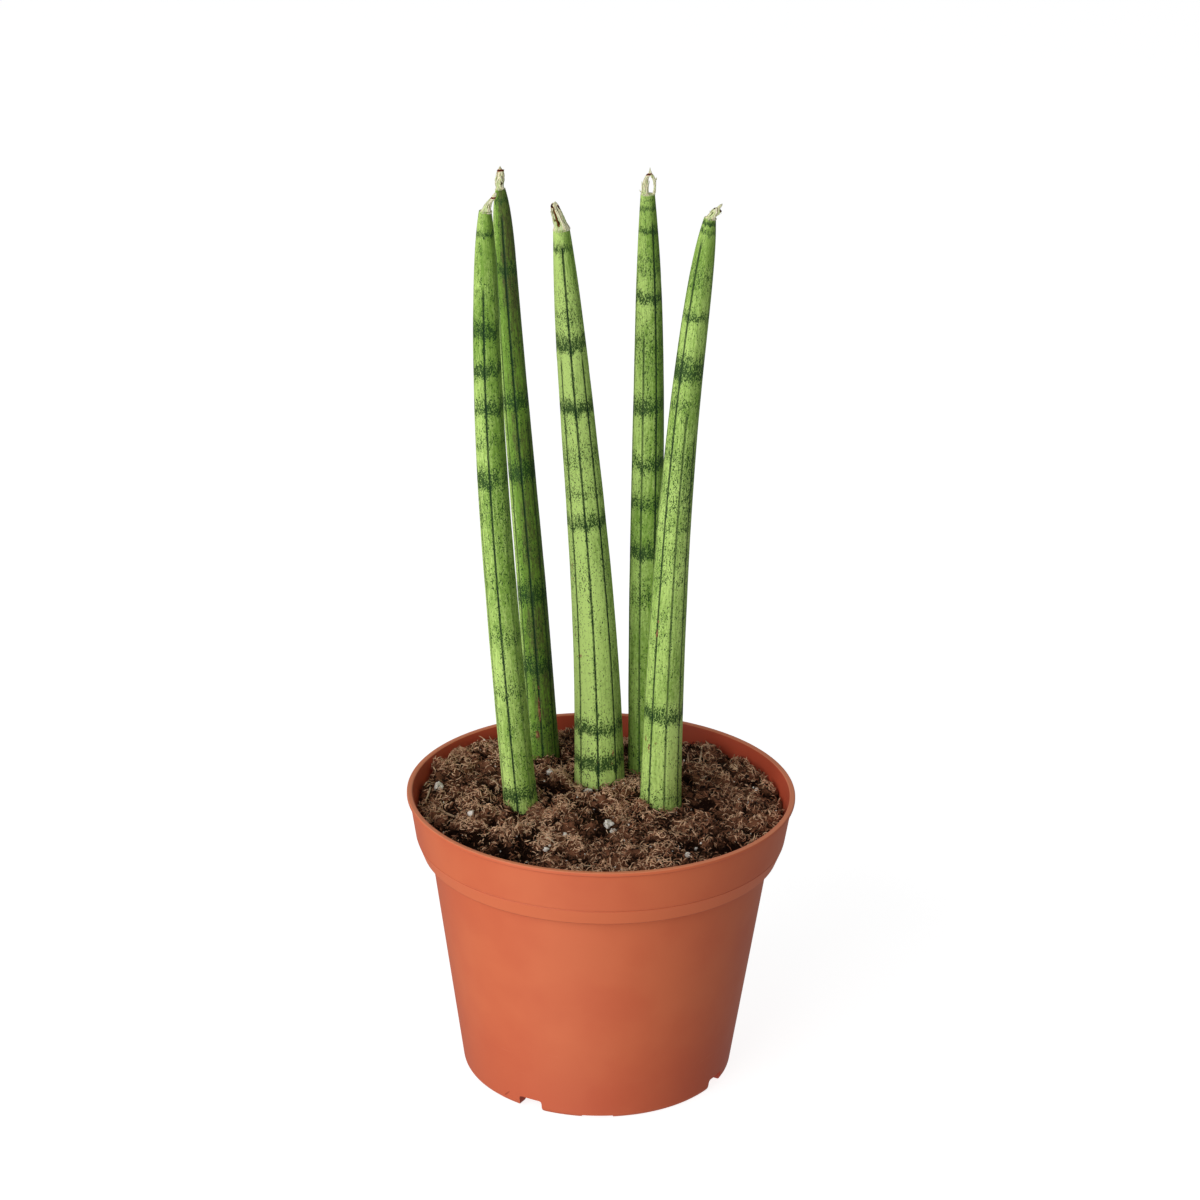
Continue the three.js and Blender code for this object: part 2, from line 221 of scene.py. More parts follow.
def merge(shapes: list[Shape]) -> Shape:
    """Puts shapes with the same paints together as one shape of several closed shells.

    Args:
        shapes: the shapes.

    Returns:
        One shape without a map.
    """
    starts = np.cumsum([0] + [len(shape.points) for shape in shapes[:-1]])
    by_size: dict[int, list[Array]] = {}
    for shape, start in zip(shapes, starts):
        for faces in shape.faces:
            by_size.setdefault(faces.shape[1], []).append(faces + start)
    paints = {
        label: np.concatenate([shape.paints[label] for shape in shapes]) for label in shapes[0].paints
    }
    points = np.concatenate([shape.points for shape in shapes])
    return Shape(points, [np.concatenate(faces) for faces in by_size.values()], paints)


def lathe(outline: Array, segments: int) -> Shape:
    """Turns an outline that starts and ends on the axis about +Z.

    Args:
        outline: points of radius and height, going up the outside and down the inside.
        segments: how many faces go round.

    Returns:
        The closed shape.
    """
    turn = np.arange(segments) / segments * TURN
    rings = outline[1:-1, :1, None] * circle(turn)
    rings[..., 2] = outline[1:-1, 1:]
    shape = skin(rings)
    shape.map = []
    return shape


def circle(bearing: Array) -> Array:
    """Places on a level circle of radius 1, at some bearings from +X."""
    return np.stack([np.cos(bearing), np.sin(bearing), 0 * bearing], -1)


def unit(vectors: Array, guard: float = 0.0) -> Array:
    """The vectors, each made 1 long. A small guard keeps one of no length finite."""
    return vectors / (np.linalg.norm(vectors, axis=-1, keepdims=True) + guard)


def rounded(corners: list[Triple], steps: int = 5) -> Array:
    """Rounds the corners of an outline.

    Args:
        corners: radius, height and how far from the corner its rounding starts.
        steps: points on each rounding, less one.

    Returns:
        The outline's points.
    """
    places = np.array(corners)[:, :2]
    points = []
    for i, (x, y, trim) in enumerate(corners):
        here = np.array([x, y])
        if trim == 0:
            points.append(here)
            continue
        before, after = places[i - 1] - here, places[i + 1] - here
        start, end = here + unit(before) * trim, here + unit(after) * trim
        for t in np.linspace(0, 1, steps + 1):
            points.append((1 - t) ** 2 * start + 2 * t * (1 - t) * here + t**2 * end)
    return np.array(points)


def smooth(value: Array, low: float, high: float) -> Array:
    """A soft step from 0 at low to 1 at high."""
    share = np.clip((value - low) / (high - low), 0, 1)
    return share * share * (3 - 2 * share)


def even_draws(seed: int) -> Iterator[float]:
    """An endless stream of draws between 0 and 1."""
    return iter(np.random.default_rng(seed).random, None)


def seeded_draws(seed: int) -> Iterator[float]:
    """A repeatable stream of draws between 0 and 1, the same as the part's own.

    Args:
        seed: starts the stream.

    Yields:
        The next draw.
    """
    mask = 0xFFFFFFFF
    state = seed
    while True:
        state = (state + 0x6D2B79F5) & mask
        mixed = ((state ^ (state >> 15)) * (1 | state)) & mask
        mixed = ((mixed + (((mixed ^ (mixed >> 7)) * (61 | mixed)) & mask)) & mask) ^ mixed
        yield (mixed ^ (mixed >> 14)) / 2**32


# ---- Finishes ----


class Graph:
    """A material whose nodes are added one at a time."""

    def __init__(self, name: str) -> None:
        """Starts an empty material.

        Args:
            name: the material's name.
        """
        self.material = bpy.data.materials.new(name)
        self.material.use_nodes = True
        self.tree = self.material.node_tree
        self.tree.nodes.clear()

    def node(self, kind: str, sockets: dict[int | str, Any], **settings: Any) -> bpy.types.Node:
        """Adds a node.

        Args:
            kind: the node's type, after ShaderNode.
            sockets: for each input, a socket to link or a value to set.
            settings: the node's own settings.

        Returns:
            The node.
        """
        made = self.tree.nodes.new("ShaderNode" + kind)
        for key, value in settings.items():
            setattr(made, key, value)
        for key, value in sockets.items():
            if isinstance(value, Socket):
                self.tree.links.new(value, made.inputs[key])
            else:
                made.inputs[key].default_value = value
        return made

    def place(self) -> Socket:
        """The place on the object, in metres."""
        return self.node("TexCoord", {}).outputs["Object"]

    def paint(self, name: str, kind: str = "Fac") -> Socket:
        """A value painted on the vertices under that name."""
        return self.node("Attribute", {}, attribute_name=name).outputs[kind]

    def scaled(self, place: Socket, scale: Triple) -> Socket:
        """The place multiplied by a scale along each axis."""
        return self.node("Mapping", {"Vector": place, "Scale": scale}).outputs["Vector"]

    def noise(self, place: Socket, scale: float, detail: float = 2, twist: float = 0) -> Socket:
        """Noise from 0 to 1 whose features are about 1 / scale wide."""
        sockets = {"Vector": place, "Scale": scale, "Detail": detail, "Distortion": twist}
        return self.node("TexNoise", sockets).outputs[0]

    def pits(self, place: Socket, scale: float) -> Socket:
        """The distance to the nearest of scattered points, 1 / scale apart."""
        return self.node("TexVoronoi", {"Vector": place, "Scale": scale}).outputs["Distance"]

    def step(self, value: Socket, low: float, high: float) -> Socket:
        """A soft step from 0 at low to 1 at high. It falls if high is the lower.

        Args:
            value: what is stepped.
            low: where it starts.
            high: where it ends.

        Returns:
            The step's socket.
        """
        ends = (low, high, 0.0, 1.0) if low < high else (high, low, 1.0, 0.0)
        sockets = {0: value, 1: ends[0], 2: ends[1], 3: ends[2], 4: ends[3]}
        return self.node("MapRange", sockets, interpolation_type="SMOOTHSTEP").outputs[0]

    def spread(self, value: Socket, low: float, high: float) -> Socket:
        """Stretches 0 to 1 to low to high."""
        return self.node("MapRange", {0: value, 3: low, 4: high}).outputs[0]

    def calc(self, operation: str, *values: Socket | float) -> Socket:
        """One step of arithmetic on values."""
        return self.node("Math", dict(enumerate(values)), operation=operation).outputs[0]

    def times(self, first: Socket, second: Socket | float) -> Socket:
        """One value times another."""
        return self.calc("MULTIPLY", first, second)

    def around_zero(self, noise: Socket, gain: float) -> Socket:
        """Noise from 0 to 1, moved to lie about 0 and multiplied."""
        return self.times(self.calc("SUBTRACT", noise, 0.5), gain)

    def blend(self, share: Socket | float, first: Socket | Colour, second: Socket | Colour) -> Socket:
        """Lays a second colour over a first.

        Args:
            share: how much of the second shows.
            first: the colour below.
            second: the colour above.

        Returns:
            The colour.
        """
        sockets = {0: share}
        for key, colour in ((6, first), (7, second)):
            sockets[key] = colour if isinstance(colour, Socket) else (*colour, 1)
        return self.node("Mix", sockets, data_type="RGBA").outputs[2]

    def bump(self, height: Socket, distance: float, below: Socket | None = None) -> Socket:
        """A normal tilted by a height from 0 to 1, which stands for 0 to distance.

        Args:
            height: the height.
            distance: how far the height 1 stands out, in metres.
            below: the normal that it tilts, if any.

        Returns:
            The normal's socket.
        """
        sockets = {"Height": height, "Distance": distance, "Strength": 1.0}
        if below is not None:
            sockets["Normal"] = below
        return self.node("Bump", sockets).outputs["Normal"]

    def finish(self, sockets: dict[str, Any]) -> Material:
        """Ends the material in a surface shader.

        Args:
            sockets: for each of the shader's inputs, a socket to link or a value to set.

        Returns:
            The material.
        """
        shader = self.node("BsdfPrincipled", sockets)
        self.node("OutputMaterial", {"Surface": shader.outputs[0]})
        return self.material

    def surface(self, colour: Socket, rough: Socket, normal: Socket, gloss: float) -> Material:
        """Ends the material in a shader with these inputs and an even gloss."""
        sockets = {"Base Color": colour, "Roughness": rough, "Normal": normal}
        return self.finish({**sockets, "Specular IOR Level": gloss})


@dataclass(frozen=True)
class PlasticFinish:
    """Moulded terracotta-coloured plastic, slightly cloudy, with a fine grain and faint scuffs.

    Attributes:
        pale: the lighter colour painted on faces that look downwards, as painted light from the floor below.
        edge: the colour of the painted highlight along the lip's top edge.
        shadow: the colour of the painted shadow lines, and of the nick.
        lines: the height of each painted shadow line, under the ledge, in the crease and under the lip, and
            how dark it is.
        nick: the middle of a nick, its turn about each axis and its half sizes.
    """

    base: Colour = (0.735, 0.172, 0.07)
    deep: Colour = (0.69, 0.145, 0.06)
    scuff: Colour = (0.82, 0.27, 0.14)
    inside: Colour = (0.56, 0.085, 0.04)
    pale: Colour = (0.79, 0.186, 0.075)
    edge: Colour = (0.92, 0.32, 0.16)
    shadow: Colour = (0.36, 0.055, 0.024)
    lines: tuple[Pair, ...] = ((0.0731, 1.0), (0.0784, 0.3), (0.091, 0.5))
    nick: tuple[Triple, ...] = (
        (-0.0276, -0.0321, 0.003), (0.0, -0.77, -0.71), (0.0019, 0.0015, 0.0003)
    )
    roughness: Pair = (0.42, 0.54)

    def material(self) -> Material:
        """The material.

        Returns:
            The material, with its nodes.
        """
        g = Graph("pot_plastic")
        place = g.place()
        clouds = g.noise(place, 38, 3)
        colour = g.blend(g.step(clouds, 0.35, 0.7), self.base, self.deep)
        outward = g.node("VectorMath", {0: place, 1: (1, 1, 0)}, operation="MULTIPLY").outputs[0]
        normal = g.node("NewGeometry", {}).outputs["Normal"]
        facing = g.node("VectorMath", {0: outward, 1: normal}, operation="DOT_PRODUCT").outputs["Value"]
        height = g.node("SeparateXYZ", {0: place}).outputs[2]
        upward = g.node("SeparateXYZ", {0: normal}).outputs[2]
        # Painted light: faces that look downwards are painted lighter, as if lit from the floor below.
        colour = g.blend(g.step(upward, -0.15, -0.38), colour, self.pale)
        # Darker and redder towards the bottom, in the colour of the shaded inner wall.
        colour = g.blend(g.times(g.step(height, 0.034, 0.002), 0.45), colour, self.inside)
        # Painted shadow lines under the ledge, in the crease and under the lip.
        for line, depth in self.lines:
            away = g.calc("ABSOLUTE", g.calc("SUBTRACT", height, line))
            near = g.times(g.step(away, 0.0005, 0.00014), g.spread(clouds, 0.5 * depth, depth))
            colour = g.blend(near, colour, self.shadow)
        # Painted shade and painted reflected light: faces that look inwards take the deep red of the shaded
        # inner wall.
        colour = g.blend(g.step(facing, 0.001, -0.003), colour, self.inside)
        # Painted highlight: upward faces along the lip's top edge are painted lighter.
        lip_highlight = g.times(g.step(upward, 0.35, 0.75), g.step(height, 0.0914, 0.0919))
        colour = g.blend(g.times(lip_highlight, 0.7), colour, self.edge)
        middle, turn, size = self.nick
        sockets = {"Vector": place, "Location": middle, "Rotation": turn, "Scale": size}
        local = g.node("Mapping", sockets, vector_type="TEXTURE").outputs["Vector"]
        off = g.node("VectorMath", {0: local}, operation="LENGTH").outputs["Value"]
        colour = g.blend(g.times(g.step(off, 1.1, 0.6), 0.75), colour, self.shadow)
        drawn = g.noise(g.scaled(place, (45, 45, 700)), 1, 3, 0.4)
        marks = g.noise(g.scaled(place, (120, 120, 1500)), 1, 2)
        worn = g.times(g.step(drawn, 0.66, 0.8), g.step(marks, 0.45, 0.75))
        low = g.step(height, 0.035, 0.004)
        worn = g.times(worn, g.spread(low, 0.15, 0.8))
        colour = g.blend(worn, colour, self.scuff)
        grain = g.noise(place, 2600, 2)
        colour = g.blend(g.times(g.step(grain, 0.62, 0.8), 0.1), colour, self.deep)
        rough = g.spread(g.noise(place, 140, 3), *self.roughness)
        normal = g.bump(g.noise(place, 60, 1), 0.00022)
        normal = g.bump(grain, 0.000012, normal)
        return g.surface(colour, rough, normal, 0.28)


@dataclass(frozen=True)
class RindFinish:
    """A leaf's rind: mottled pale ribs, near-black lines in the grooves, bands of dark dots, specks."""

    light: Colour = (0.615, 0.84, 0.235)
    green: Colour = (0.186, 0.35, 0.043)
    deep: Colour = (0.09, 0.1, 0.031)
    shade: Colour = (0.075, 0.185, 0.034)
    band: Colour = (0.022, 0.064, 0.014)
    line: Colour = (0.01, 0.034, 0.012)
    cork: Colour = (0.165, 0.05, 0.028)
    pale_cork: Colour = (0.42, 0.2, 0.1)
    line_half_width: float = 0.00033
    roughness: Pair = (0.48, 0.66)

    def material(self) -> Material:
        """The material.

        Returns:
            The material, with its nodes.
        """
        g = Graph("leaf_rind")
        rind = g.paint("rind", "Vector")
        streaks = g.noise(g.scaled(rind, (1700, 1700, 190)), 1, 3, 0.3)
        mottle = g.noise(g.scaled(rind, (1250, 1250, 800)), 1, 3, 0.4)
        patches = g.noise(g.scaled(rind, (240, 240, 95)), 1, 3)
        dots = g.noise(g.scaled(rind, (3000, 3000, 1900)), 1, 1, 0.4)
        dashes = g.noise(g.scaled(rind, (1500, 1500, 640)), 1, 3, 0.5)
        # The painted lightness holds painted light and shade as well as the rind's own lightness.
        tone_and_painted_light = g.calc("ADD", g.paint("tone_and_painted_light"), g.around_zero(streaks, 1.3))
        tone_and_painted_light = g.calc("ADD", tone_and_painted_light, g.around_zero(mottle, 1.15))
        colour = g.blend(g.step(tone_and_painted_light, -0.2, 1.1), self.green, self.light)
        colour = g.blend(g.step(tone_and_painted_light, 0.0, -0.95), colour, self.deep)

        strength = g.times(g.paint("line"), g.spread(g.step(mottle, 0.3, 0.6), 0.7, 1.0))
        away = g.calc("ADD", g.paint("groove"), g.around_zero(dashes, 0.00024))
        beside = g.times(g.step(away, 0.0014, 0.0002), strength)
        beside = g.times(beside, g.spread(g.step(patches, 0.36, 0.62), 0.1, 0.55))
        dusting = g.times(g.step(patches, 0.44, 0.7), 0.38)
        cover = g.calc("MAXIMUM", g.paint("band"), g.calc("MAXIMUM", dusting, beside))
        colour = g.blend(g.times(g.step(cover, 0.15, 1.0), 0.32), colour, self.shade)
        dark = g.calc("MULTIPLY_ADD", cover, 1.16, -0.21)
        dark = g.calc("ADD", dark, g.around_zero(dots, 3.5))
        dark = g.calc("ADD", dark, g.around_zero(dashes, 2.3))
        colour = g.blend(g.times(g.step(dark, 0.4, 0.6), 0.92), colour, self.band)

        lined = g.step(away, self.line_half_width * 1.35, self.line_half_width * 0.6)
        colour = g.blend(g.times(lined, g.times(strength, 0.97)), colour, self.line)

        scarred = g.calc("ADD", g.paint("scar"), g.around_zero(dots, 1.3))
        scarred = g.step(scarred, 0.36, 0.56)
        corky = g.blend(g.step(mottle, 0.42, 0.62), self.cork, self.pale_cork)
        colour = g.blend(g.times(scarred, 0.95), colour, corky)
        rough = g.spread(g.calc("ADD", patches, g.times(scarred, 0.8)), *self.roughness)
        normal = g.bump(streaks, 0.00005)
        normal = g.bump(g.calc("SUBTRACT", mottle, g.times(dark, 0.15)), 0.00005, normal)
        return g.surface(colour, rough, normal, 0.12)


@dataclass(frozen=True)
class HuskFinish:
    """The papery dried tip: cream, with pale green folds, brown slits and a scorched end; its creases and
    slits are painted dark, partly their own brown and partly painted shade.
    """

    cream: Colour = (1.0, 0.97, 0.7)
    straw: Colour = (0.9, 0.78, 0.41)
    green: Colour = (0.58, 0.76, 0.3)
    crease: Colour = (0.13, 0.115, 0.026)
    rust: Colour = (0.5, 0.125, 0.04)
    slit: Colour = (0.085, 0.042, 0.012)
    scorch: Colour = (0.055, 0.01, 0.008)

    def material(self) -> Material:
        """The material.

        Returns:
            The material, with its nodes.
        """
        g = Graph("dried_husk")
        husk = g.paint("husk", "Vector")
        fibres = g.noise(g.scaled(husk, (3000, 3000, 420)), 1, 3, 0.4)
        threads = g.noise(g.scaled(husk, (2700, 2700, 330)), 1, 2, 0.6)
        blotches = g.noise(g.scaled(husk, (800, 800, 300)), 1, 2)
        colour = g.blend(g.step(fibres, 0.46, 0.66), self.cream, self.straw)
        colour = g.blend(g.times(g.step(blotches, 0.48, 0.62), 0.7), colour, self.green)
        colour = g.blend(g.times(g.step(threads, 0.53, 0.62), 0.8), colour, self.crease)
        fold = g.calc("ADD", g.paint("fold"), g.around_zero(fibres, 0.8))
        # Creases and slits are painted dark: partly the husk's own brown, partly painted shade in the folds.
        colour = g.blend(g.step(fold, 0.32, 0.56), colour, self.crease)
        colour = g.blend(g.step(fold, 0.66, 0.8), colour, self.rust)
        colour = g.blend(g.step(fold, 0.8, 0.96), colour, self.slit)
        burnt = g.calc("ADD", g.paint("scorch"), g.around_zero(fibres, 0.9))
        colour = g.blend(g.step(burnt, 0.2, 0.36), colour, self.rust)
        colour = g.blend(g.step(burnt, 0.5, 0.74), colour, self.scorch)
        rough = g.spread(fibres, 0.55, 0.8)
        normal = g.bump(fibres, 0.0001)
        return g.surface(colour, rough, normal, 0.12)


@dataclass(frozen=True)
class PeatFinish:
    """Moist peat: dark in its hollows, partly its own colour and partly painted shade, brown and fibrous
    where it stands up.
    """

    hollow: Colour = (0.012, 0.004, 0.002)
    brown: Colour = (0.2, 0.084, 0.044)
    tan: Colour = (0.56, 0.31, 0.19)

    def material(self) -> Material:
        """The material.

        Returns:
            The material, with its nodes.
        """
        g = Graph("peat")
        place = g.place()
        fine = g.noise(place, 1400, 4, 1.2)
        coarse = g.noise(place, 260, 2)
        height = g.calc("ADD", g.paint("relief"), g.around_zero(fine, 1.3))
        # The low places of the relief are painted near-black: the peat's own dark colour with painted shade.
        colour = g.blend(g.step(height, 0.15, 0.85), self.hollow, self.brown)
        light = g.times(g.step(fine, 0.6, 0.8), g.step(coarse, 0.35, 0.65))
        colour = g.blend(g.times(light, 0.8), colour, self.tan)
        rough = g.spread(coarse, 0.7, 0.95)
        normal = g.bump(fine, 0.00035)
        return g.surface(colour, rough, normal, 0.05)


@dataclass(frozen=True)
class ScrapFinish:
    """Loose scraps in the peat. Each scrap's tint, painted from 0 to 1, runs from dark to light; on the
    fibres it also holds painted light and shade.
    """

    name: str
    dark: Colour
    middle: Colour
    light: Colour

    def material(self) -> Material:
        """The material.

        Returns:
            The material, with its nodes.
        """
        g = Graph(self.name)
        place = g.place()
        mottle = g.noise(place, 900, 3)
        tint = g.calc("ADD", g.paint("tint"), g.around_zero(mottle, 0.5))
        colour = g.blend(g.step(tint, 0.0, 0.6), self.dark, self.middle)
        colour = g.blend(g.step(tint, 0.55, 1.05), colour, self.light)
        rough = g.spread(mottle, 0.5, 0.85)
        normal = g.bump(g.noise(place, 3500, 2), 0.00004)
        return g.surface(colour, rough, normal, 0.08)


@dataclass(frozen=True)
class PerliteFinish:
    """Popped white perlite: chalky, pitted, with peat dust in the pits."""

    white: Colour = (1.0, 0.94, 0.86)
    grey: Colour = (0.8, 0.7, 0.6)
    dust: Colour = (0.16, 0.1, 0.065)

    def material(self) -> Material:
        """The material.

        Returns:
            The material, with its nodes.
        """
        g = Graph("perlite")
        place = g.place()
        bubbles = g.pits(place, 1900)
        clouds = g.noise(place, 750, 3)
        colour = g.blend(g.step(clouds, 0.4, 0.75), self.white, self.grey)
        dusty = g.times(g.step(bubbles, 0.3, 0.06), g.step(clouds, 0.35, 0.6))
        colour = g.blend(g.times(dusty, 0.7), colour, self.dust)
        rough = g.spread(clouds, 0.75, 1.0)
        normal = g.bump(bubbles, 0.00018)
        return g.surface(colour, rough, normal, 0.3)


# ---- Studio ----


@dataclass(frozen=True)
class Softbox:
    """A round soft light that points at the middle of the plant.

    Attributes:
        bearing: where it stands, in degrees from the front towards +X.
        height: how far above the level it is seen, in degrees.
    """

    name: str
    bearing: float
    height: float
    distance: float
    size: float
    power: float

    TARGET = Vector((0, 0, 0.14))

    def build(self) -> None:
        """Hangs the light."""
        bearing, height = math.radians(self.bearing), math.radians(self.height)
        flat = math.cos(height)
        towards = Vector((math.sin(bearing) * flat, -math.cos(bearing) * flat, math.sin(height)))
        data = bpy.data.lights.new(self.name, "AREA")
        data.shape = "DISK"
        data.size = self.size
        data.energy = self.power
        light = bpy.data.objects.new(self.name, data)
        light.location = self.TARGET + towards * self.distance
        light.rotation_euler = towards.to_track_quat("Z", "Y").to_euler()
        light.visible_camera = False
        bpy.context.scene.collection.objects.link(light)


@dataclass
class Studio:
    """Camera, soft lights and the pale floor, which rises all round like a studio backdrop."""

    camera_place: Triple = (-0.00128, -1.06889, 0.57939)
    camera_pitch: float = 21.647
    camera_roll: float = 0.925
    camera_lens: float = 113.86
    camera_sensor: float = 36.0
    lights: tuple[Softbox, ...] = (
        Softbox("key_light", -40.0, 17.0, 1.3, 1.35, 13.4),
        Softbox("floor_bounce", -30.0, -38.0, 1.5, 1.7, 3.8),
    )
    surround: float = 0.3
    floor_radius: float = 3.0
    floor_rise: float = 3.5
    floor_glow: float = 0.86
    floor_grey: float = 0.42
    floor_segments: int = 96

    def build_camera(self) -> None:
        """Places the camera and makes it the scene's."""
        data = bpy.data.cameras.new("camera")
        data.sensor_width = self.camera_sensor
        data.lens = self.camera_lens
        camera = bpy.data.objects.new("camera", data)
        tilt = Euler((math.radians(90 - self.camera_pitch), 0, 0)).to_matrix()
        roll = Matrix.Rotation(math.radians(self.camera_roll), 3, "Z")
        camera.matrix_world = Matrix.Translation(self.camera_place) @ (tilt @ roll).to_4x4()
        bpy.context.scene.collection.objects.link(camera)
        bpy.context.scene.camera = camera

    def build_lights(self) -> None:
        """Hangs the soft lights and an even pale surround."""
        for softbox in self.lights:
            softbox.build()
        world = bpy.data.worlds.new("surround")
        world.use_nodes = True
        background = world.node_tree.nodes["Background"]
        background.inputs["Color"].default_value = (0.97, 0.985, 1.0, 1)
        background.inputs["Strength"].default_value = self.surround
        bpy.context.scene.world = world
        bpy.context.scene.view_settings.view_transform = "Standard"

    def build_floor(self) -> None:
        """Makes the floor, which lights nothing but shows the plant's soft shadow."""
        bend = np.linspace(0, np.pi / 2, 16)
        radius = self.floor_radius + self.floor_rise * np.sin(bend)
        height = self.floor_rise * (1 - np.cos(bend))
        shape = lathe(np.array([(0, 0), *zip(radius, height), (0, 0)]), self.floor_segments)
        sheet, ends = (faces[:, ::-1] for faces in shape.faces)
        g = Graph("pale_floor")
        speckle = g.noise(g.place(), 30, 2)
        colour = g.blend(speckle, (self.floor_grey,) * 3, (self.floor_grey * 1.04,) * 3)
        material = g.finish(
            {
                "Base Color": colour,
                "Specular IOR Level": 0.0,
                "Roughness": 0.9,
                "Emission Color": (1, 1, 1, 1),
                "Emission Strength": self.floor_glow,
            }
        )
        middle = ends[: self.floor_segments]
        floor = Shape(shape.points[:-1], [sheet, middle]).to_object("floor", material)
        for ray in ("visible_diffuse", "visible_glossy", "visible_transmission", "visible_shadow"):
            setattr(floor, ray, False)
        floor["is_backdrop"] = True


# ---- Pot ----


@dataclass(frozen=True)
class FootCut:
    """A drain cut in the foot ring: width, height, corner rounding, flare at the foot, and bearing."""

    width: float
    height: float
    corner: float
    flare: float
    bearing: float


@dataclass
class Pot:
    """The nursery pot: a straight cone, a stepped collar, a thin lip and a foot ring cut for drainage.

    Every size is in millimetres.
    """

    wall: float = 1.2
    base_radius: float = 41.9
    flare: float = 0.146
    foot_inner: float = 38.4
    foot_rounding: float = 2.1
    floor_underside: float = 3.3
    floor_top: float = 4.5
    ledge: float = 73.2
    collar_radius: float = 55.15
    crease: Pair = (57.2, 78.4)
    lip_foot: Pair = (59.2, 91.0)
    lip_radius: float = 60.0
    lip_inner: float = 58.3
    lip_top: float = 92.3
    segments: int = 240
    drains: int = 4
    notch: FootCut = FootCut(7.8, 4.0, 1.0, 1.7, -28.7)
    relief: FootCut = FootCut(9.6, 1.0, 0.3, 0.4, 0.7)
    hole_radius: float = 3.2
    hole_circle: float = 33.0
    finish: PlasticFinish = PlasticFinish()

    def body_radius(self, height: float) -> float:
        """The outer radius of the cone at a height."""
        return self.base_radius + self.flare * height

    def inner_radius(self, height: Array) -> Array:
        """The radius of the inner face above the ledge, at some heights in millimetres.

        Args:
            height: the heights.

        Returns:
            The radius at each.
        """
        low, high = self.crease, self.lip_foot
        share = (height - low[1]) / (high[1] - low[1])
        return low[0] + (high[0] - low[0]) * share - self.wall

    def outline(self) -> Array:
        """The section of the wall, from the axis under the floor round to the axis above it.

        Returns:
            Points of radius and height, in millimetres.
        """
        thin = self.wall
        shelf = self.ledge + thin
        corners = [
            (0.0, self.floor_underside, 0),
            (self.foot_inner - 0.5, self.floor_underside, 0.4),
            (self.foot_inner, 0.0, 0.25),
            (self.base_radius, 0.0, self.foot_rounding),
            (self.body_radius(self.ledge), self.ledge, 0.25),
            (self.collar_radius, self.ledge, 0.32),
            (self.crease[0] - 0.1, self.crease[1] - 0.25, 0.08),
            (self.crease[0] - 0.2, self.crease[1], 0.05),
            (self.crease[0] + 0.04, self.crease[1] + 0.25, 0.08),
            (*self.lip_foot, 0.15),
            (self.lip_radius, self.lip_foot[1] + 0.2, 0.22),
            (self.lip_radius, self.lip_top, 0.42),
            (self.lip_inner, self.lip_top, 0.45),
            (self.lip_foot[0] - thin, self.lip_foot[1], 0.2),
            (self.crease[0] - thin, self.crease[1], 0.6),
            (self.collar_radius - thin, shelf + 0.4, 0.3),
            (self.body_radius(shelf) - thin, shelf, 0.3),
            (self.body_radius(self.floor_top) - thin, self.floor_top, 1.0),
            (0.0, self.floor_top, 0),
        ]
        return rounded(corners)

    def foot_cutter(self, cut: FootCut, turn: float) -> Shape:
        """A bar with a round-cornered, flaring section that points out through the foot.

        Args:
            cut: the cut that it makes.
            turn: how far it is turned from the cut's bearing, in degrees.

        Returns:
            The bar.
        """
        half = cut.width / 2
        t = np.linspace(0, 1, 7)
        flare = np.stack([half + cut.flare * (1 - t) ** 2, cut.flare * t**2], 1)
        shoulder = np.stack([half - cut.corner * t**2, cut.height - cut.corner * (1 - t) ** 2], 1)
        right = np.concatenate([[(half + cut.flare, -cut.height)], flare, shoulder])
        section = np.concatenate([right, right[::-1] * [-1, 1]])
        bearing = math.radians(cut.bearing + turn)
        cos, sin = math.cos(bearing), math.sin(bearing)
        rings = []
        for reach in (self.base_radius - 8, self.base_radius + 8):
            x, y = section[:, 0], -reach
            rings.append(np.stack([x * cos - y * sin, x * sin + y * cos, section[:, 1]], 1))
        return skin(np.array(rings) * MM)

    def hole_cutter(self, bearing: float) -> Shape:
        """A plug the size of a drain hole, through the floor at a bearing.

        Args:
            bearing: the bearing, in degrees.

        Returns:
            The plug.
        """
        turn = math.radians(bearing)
        middle = self.hole_circle * np.array([math.sin(turn), -math.cos(turn), 0])
        ring = middle + self.hole_radius * circle(np.linspace(0, TURN, 40, endpoint=False))
        heights = (self.floor_underside - 1, self.floor_top + 1)
        return skin(np.array([ring + [0, 0, height] for height in heights]) * MM)

    def cut(self, pot: Object, cutter: Shape) -> None:
        """Takes a cutter's shape out of the pot.

        Args:
            pot: the pot's object.
            cutter: what is taken away.
        """
        cutter.map = []
        tool = cutter.to_object("cutter", pot.data.materials[0])
        step = pot.modifiers.new("cut", "BOOLEAN")
        step.object = tool
        step.operation = "DIFFERENCE"
        step.solver = "EXACT"
        graph = bpy.context.evaluated_depsgraph_get()
        mesh = bpy.data.meshes.new_from_object(pot.evaluated_get(graph))
        pot.modifiers.clear()
        pot.data = mesh
        bpy.data.objects.remove(tool)

    def build(self) -> Object:
        """Turns the pot, cuts its drains and dresses it.

        Returns:
            The pot's object.
        """
        outline = self.outline()
        pot = lathe(outline * MM, self.segments).to_object("nursery_pot", self.finish.material())
        spacing = 360 / self.drains
        for i in range(self.drains):
            self.cut(pot, self.foot_cutter(self.notch, i * spacing))
            self.cut(pot, self.foot_cutter(self.relief, i * spacing))
            self.cut(pot, self.hole_cutter(self.notch.bearing + i * spacing))
            self.cut(pot, self.hole_cutter(self.notch.bearing + (i + 0.5) * spacing))
        pot.data.name = "nursery_pot"
        pot.data.shade_smooth()
        pot.data.set_sharp_from_angle(angle=math.radians(42))
        even = pot.modifiers.new("even_shading", "WEIGHTED_NORMAL")
        even.keep_sharp = True
        return dress(pot, Slot.POT, "pot")


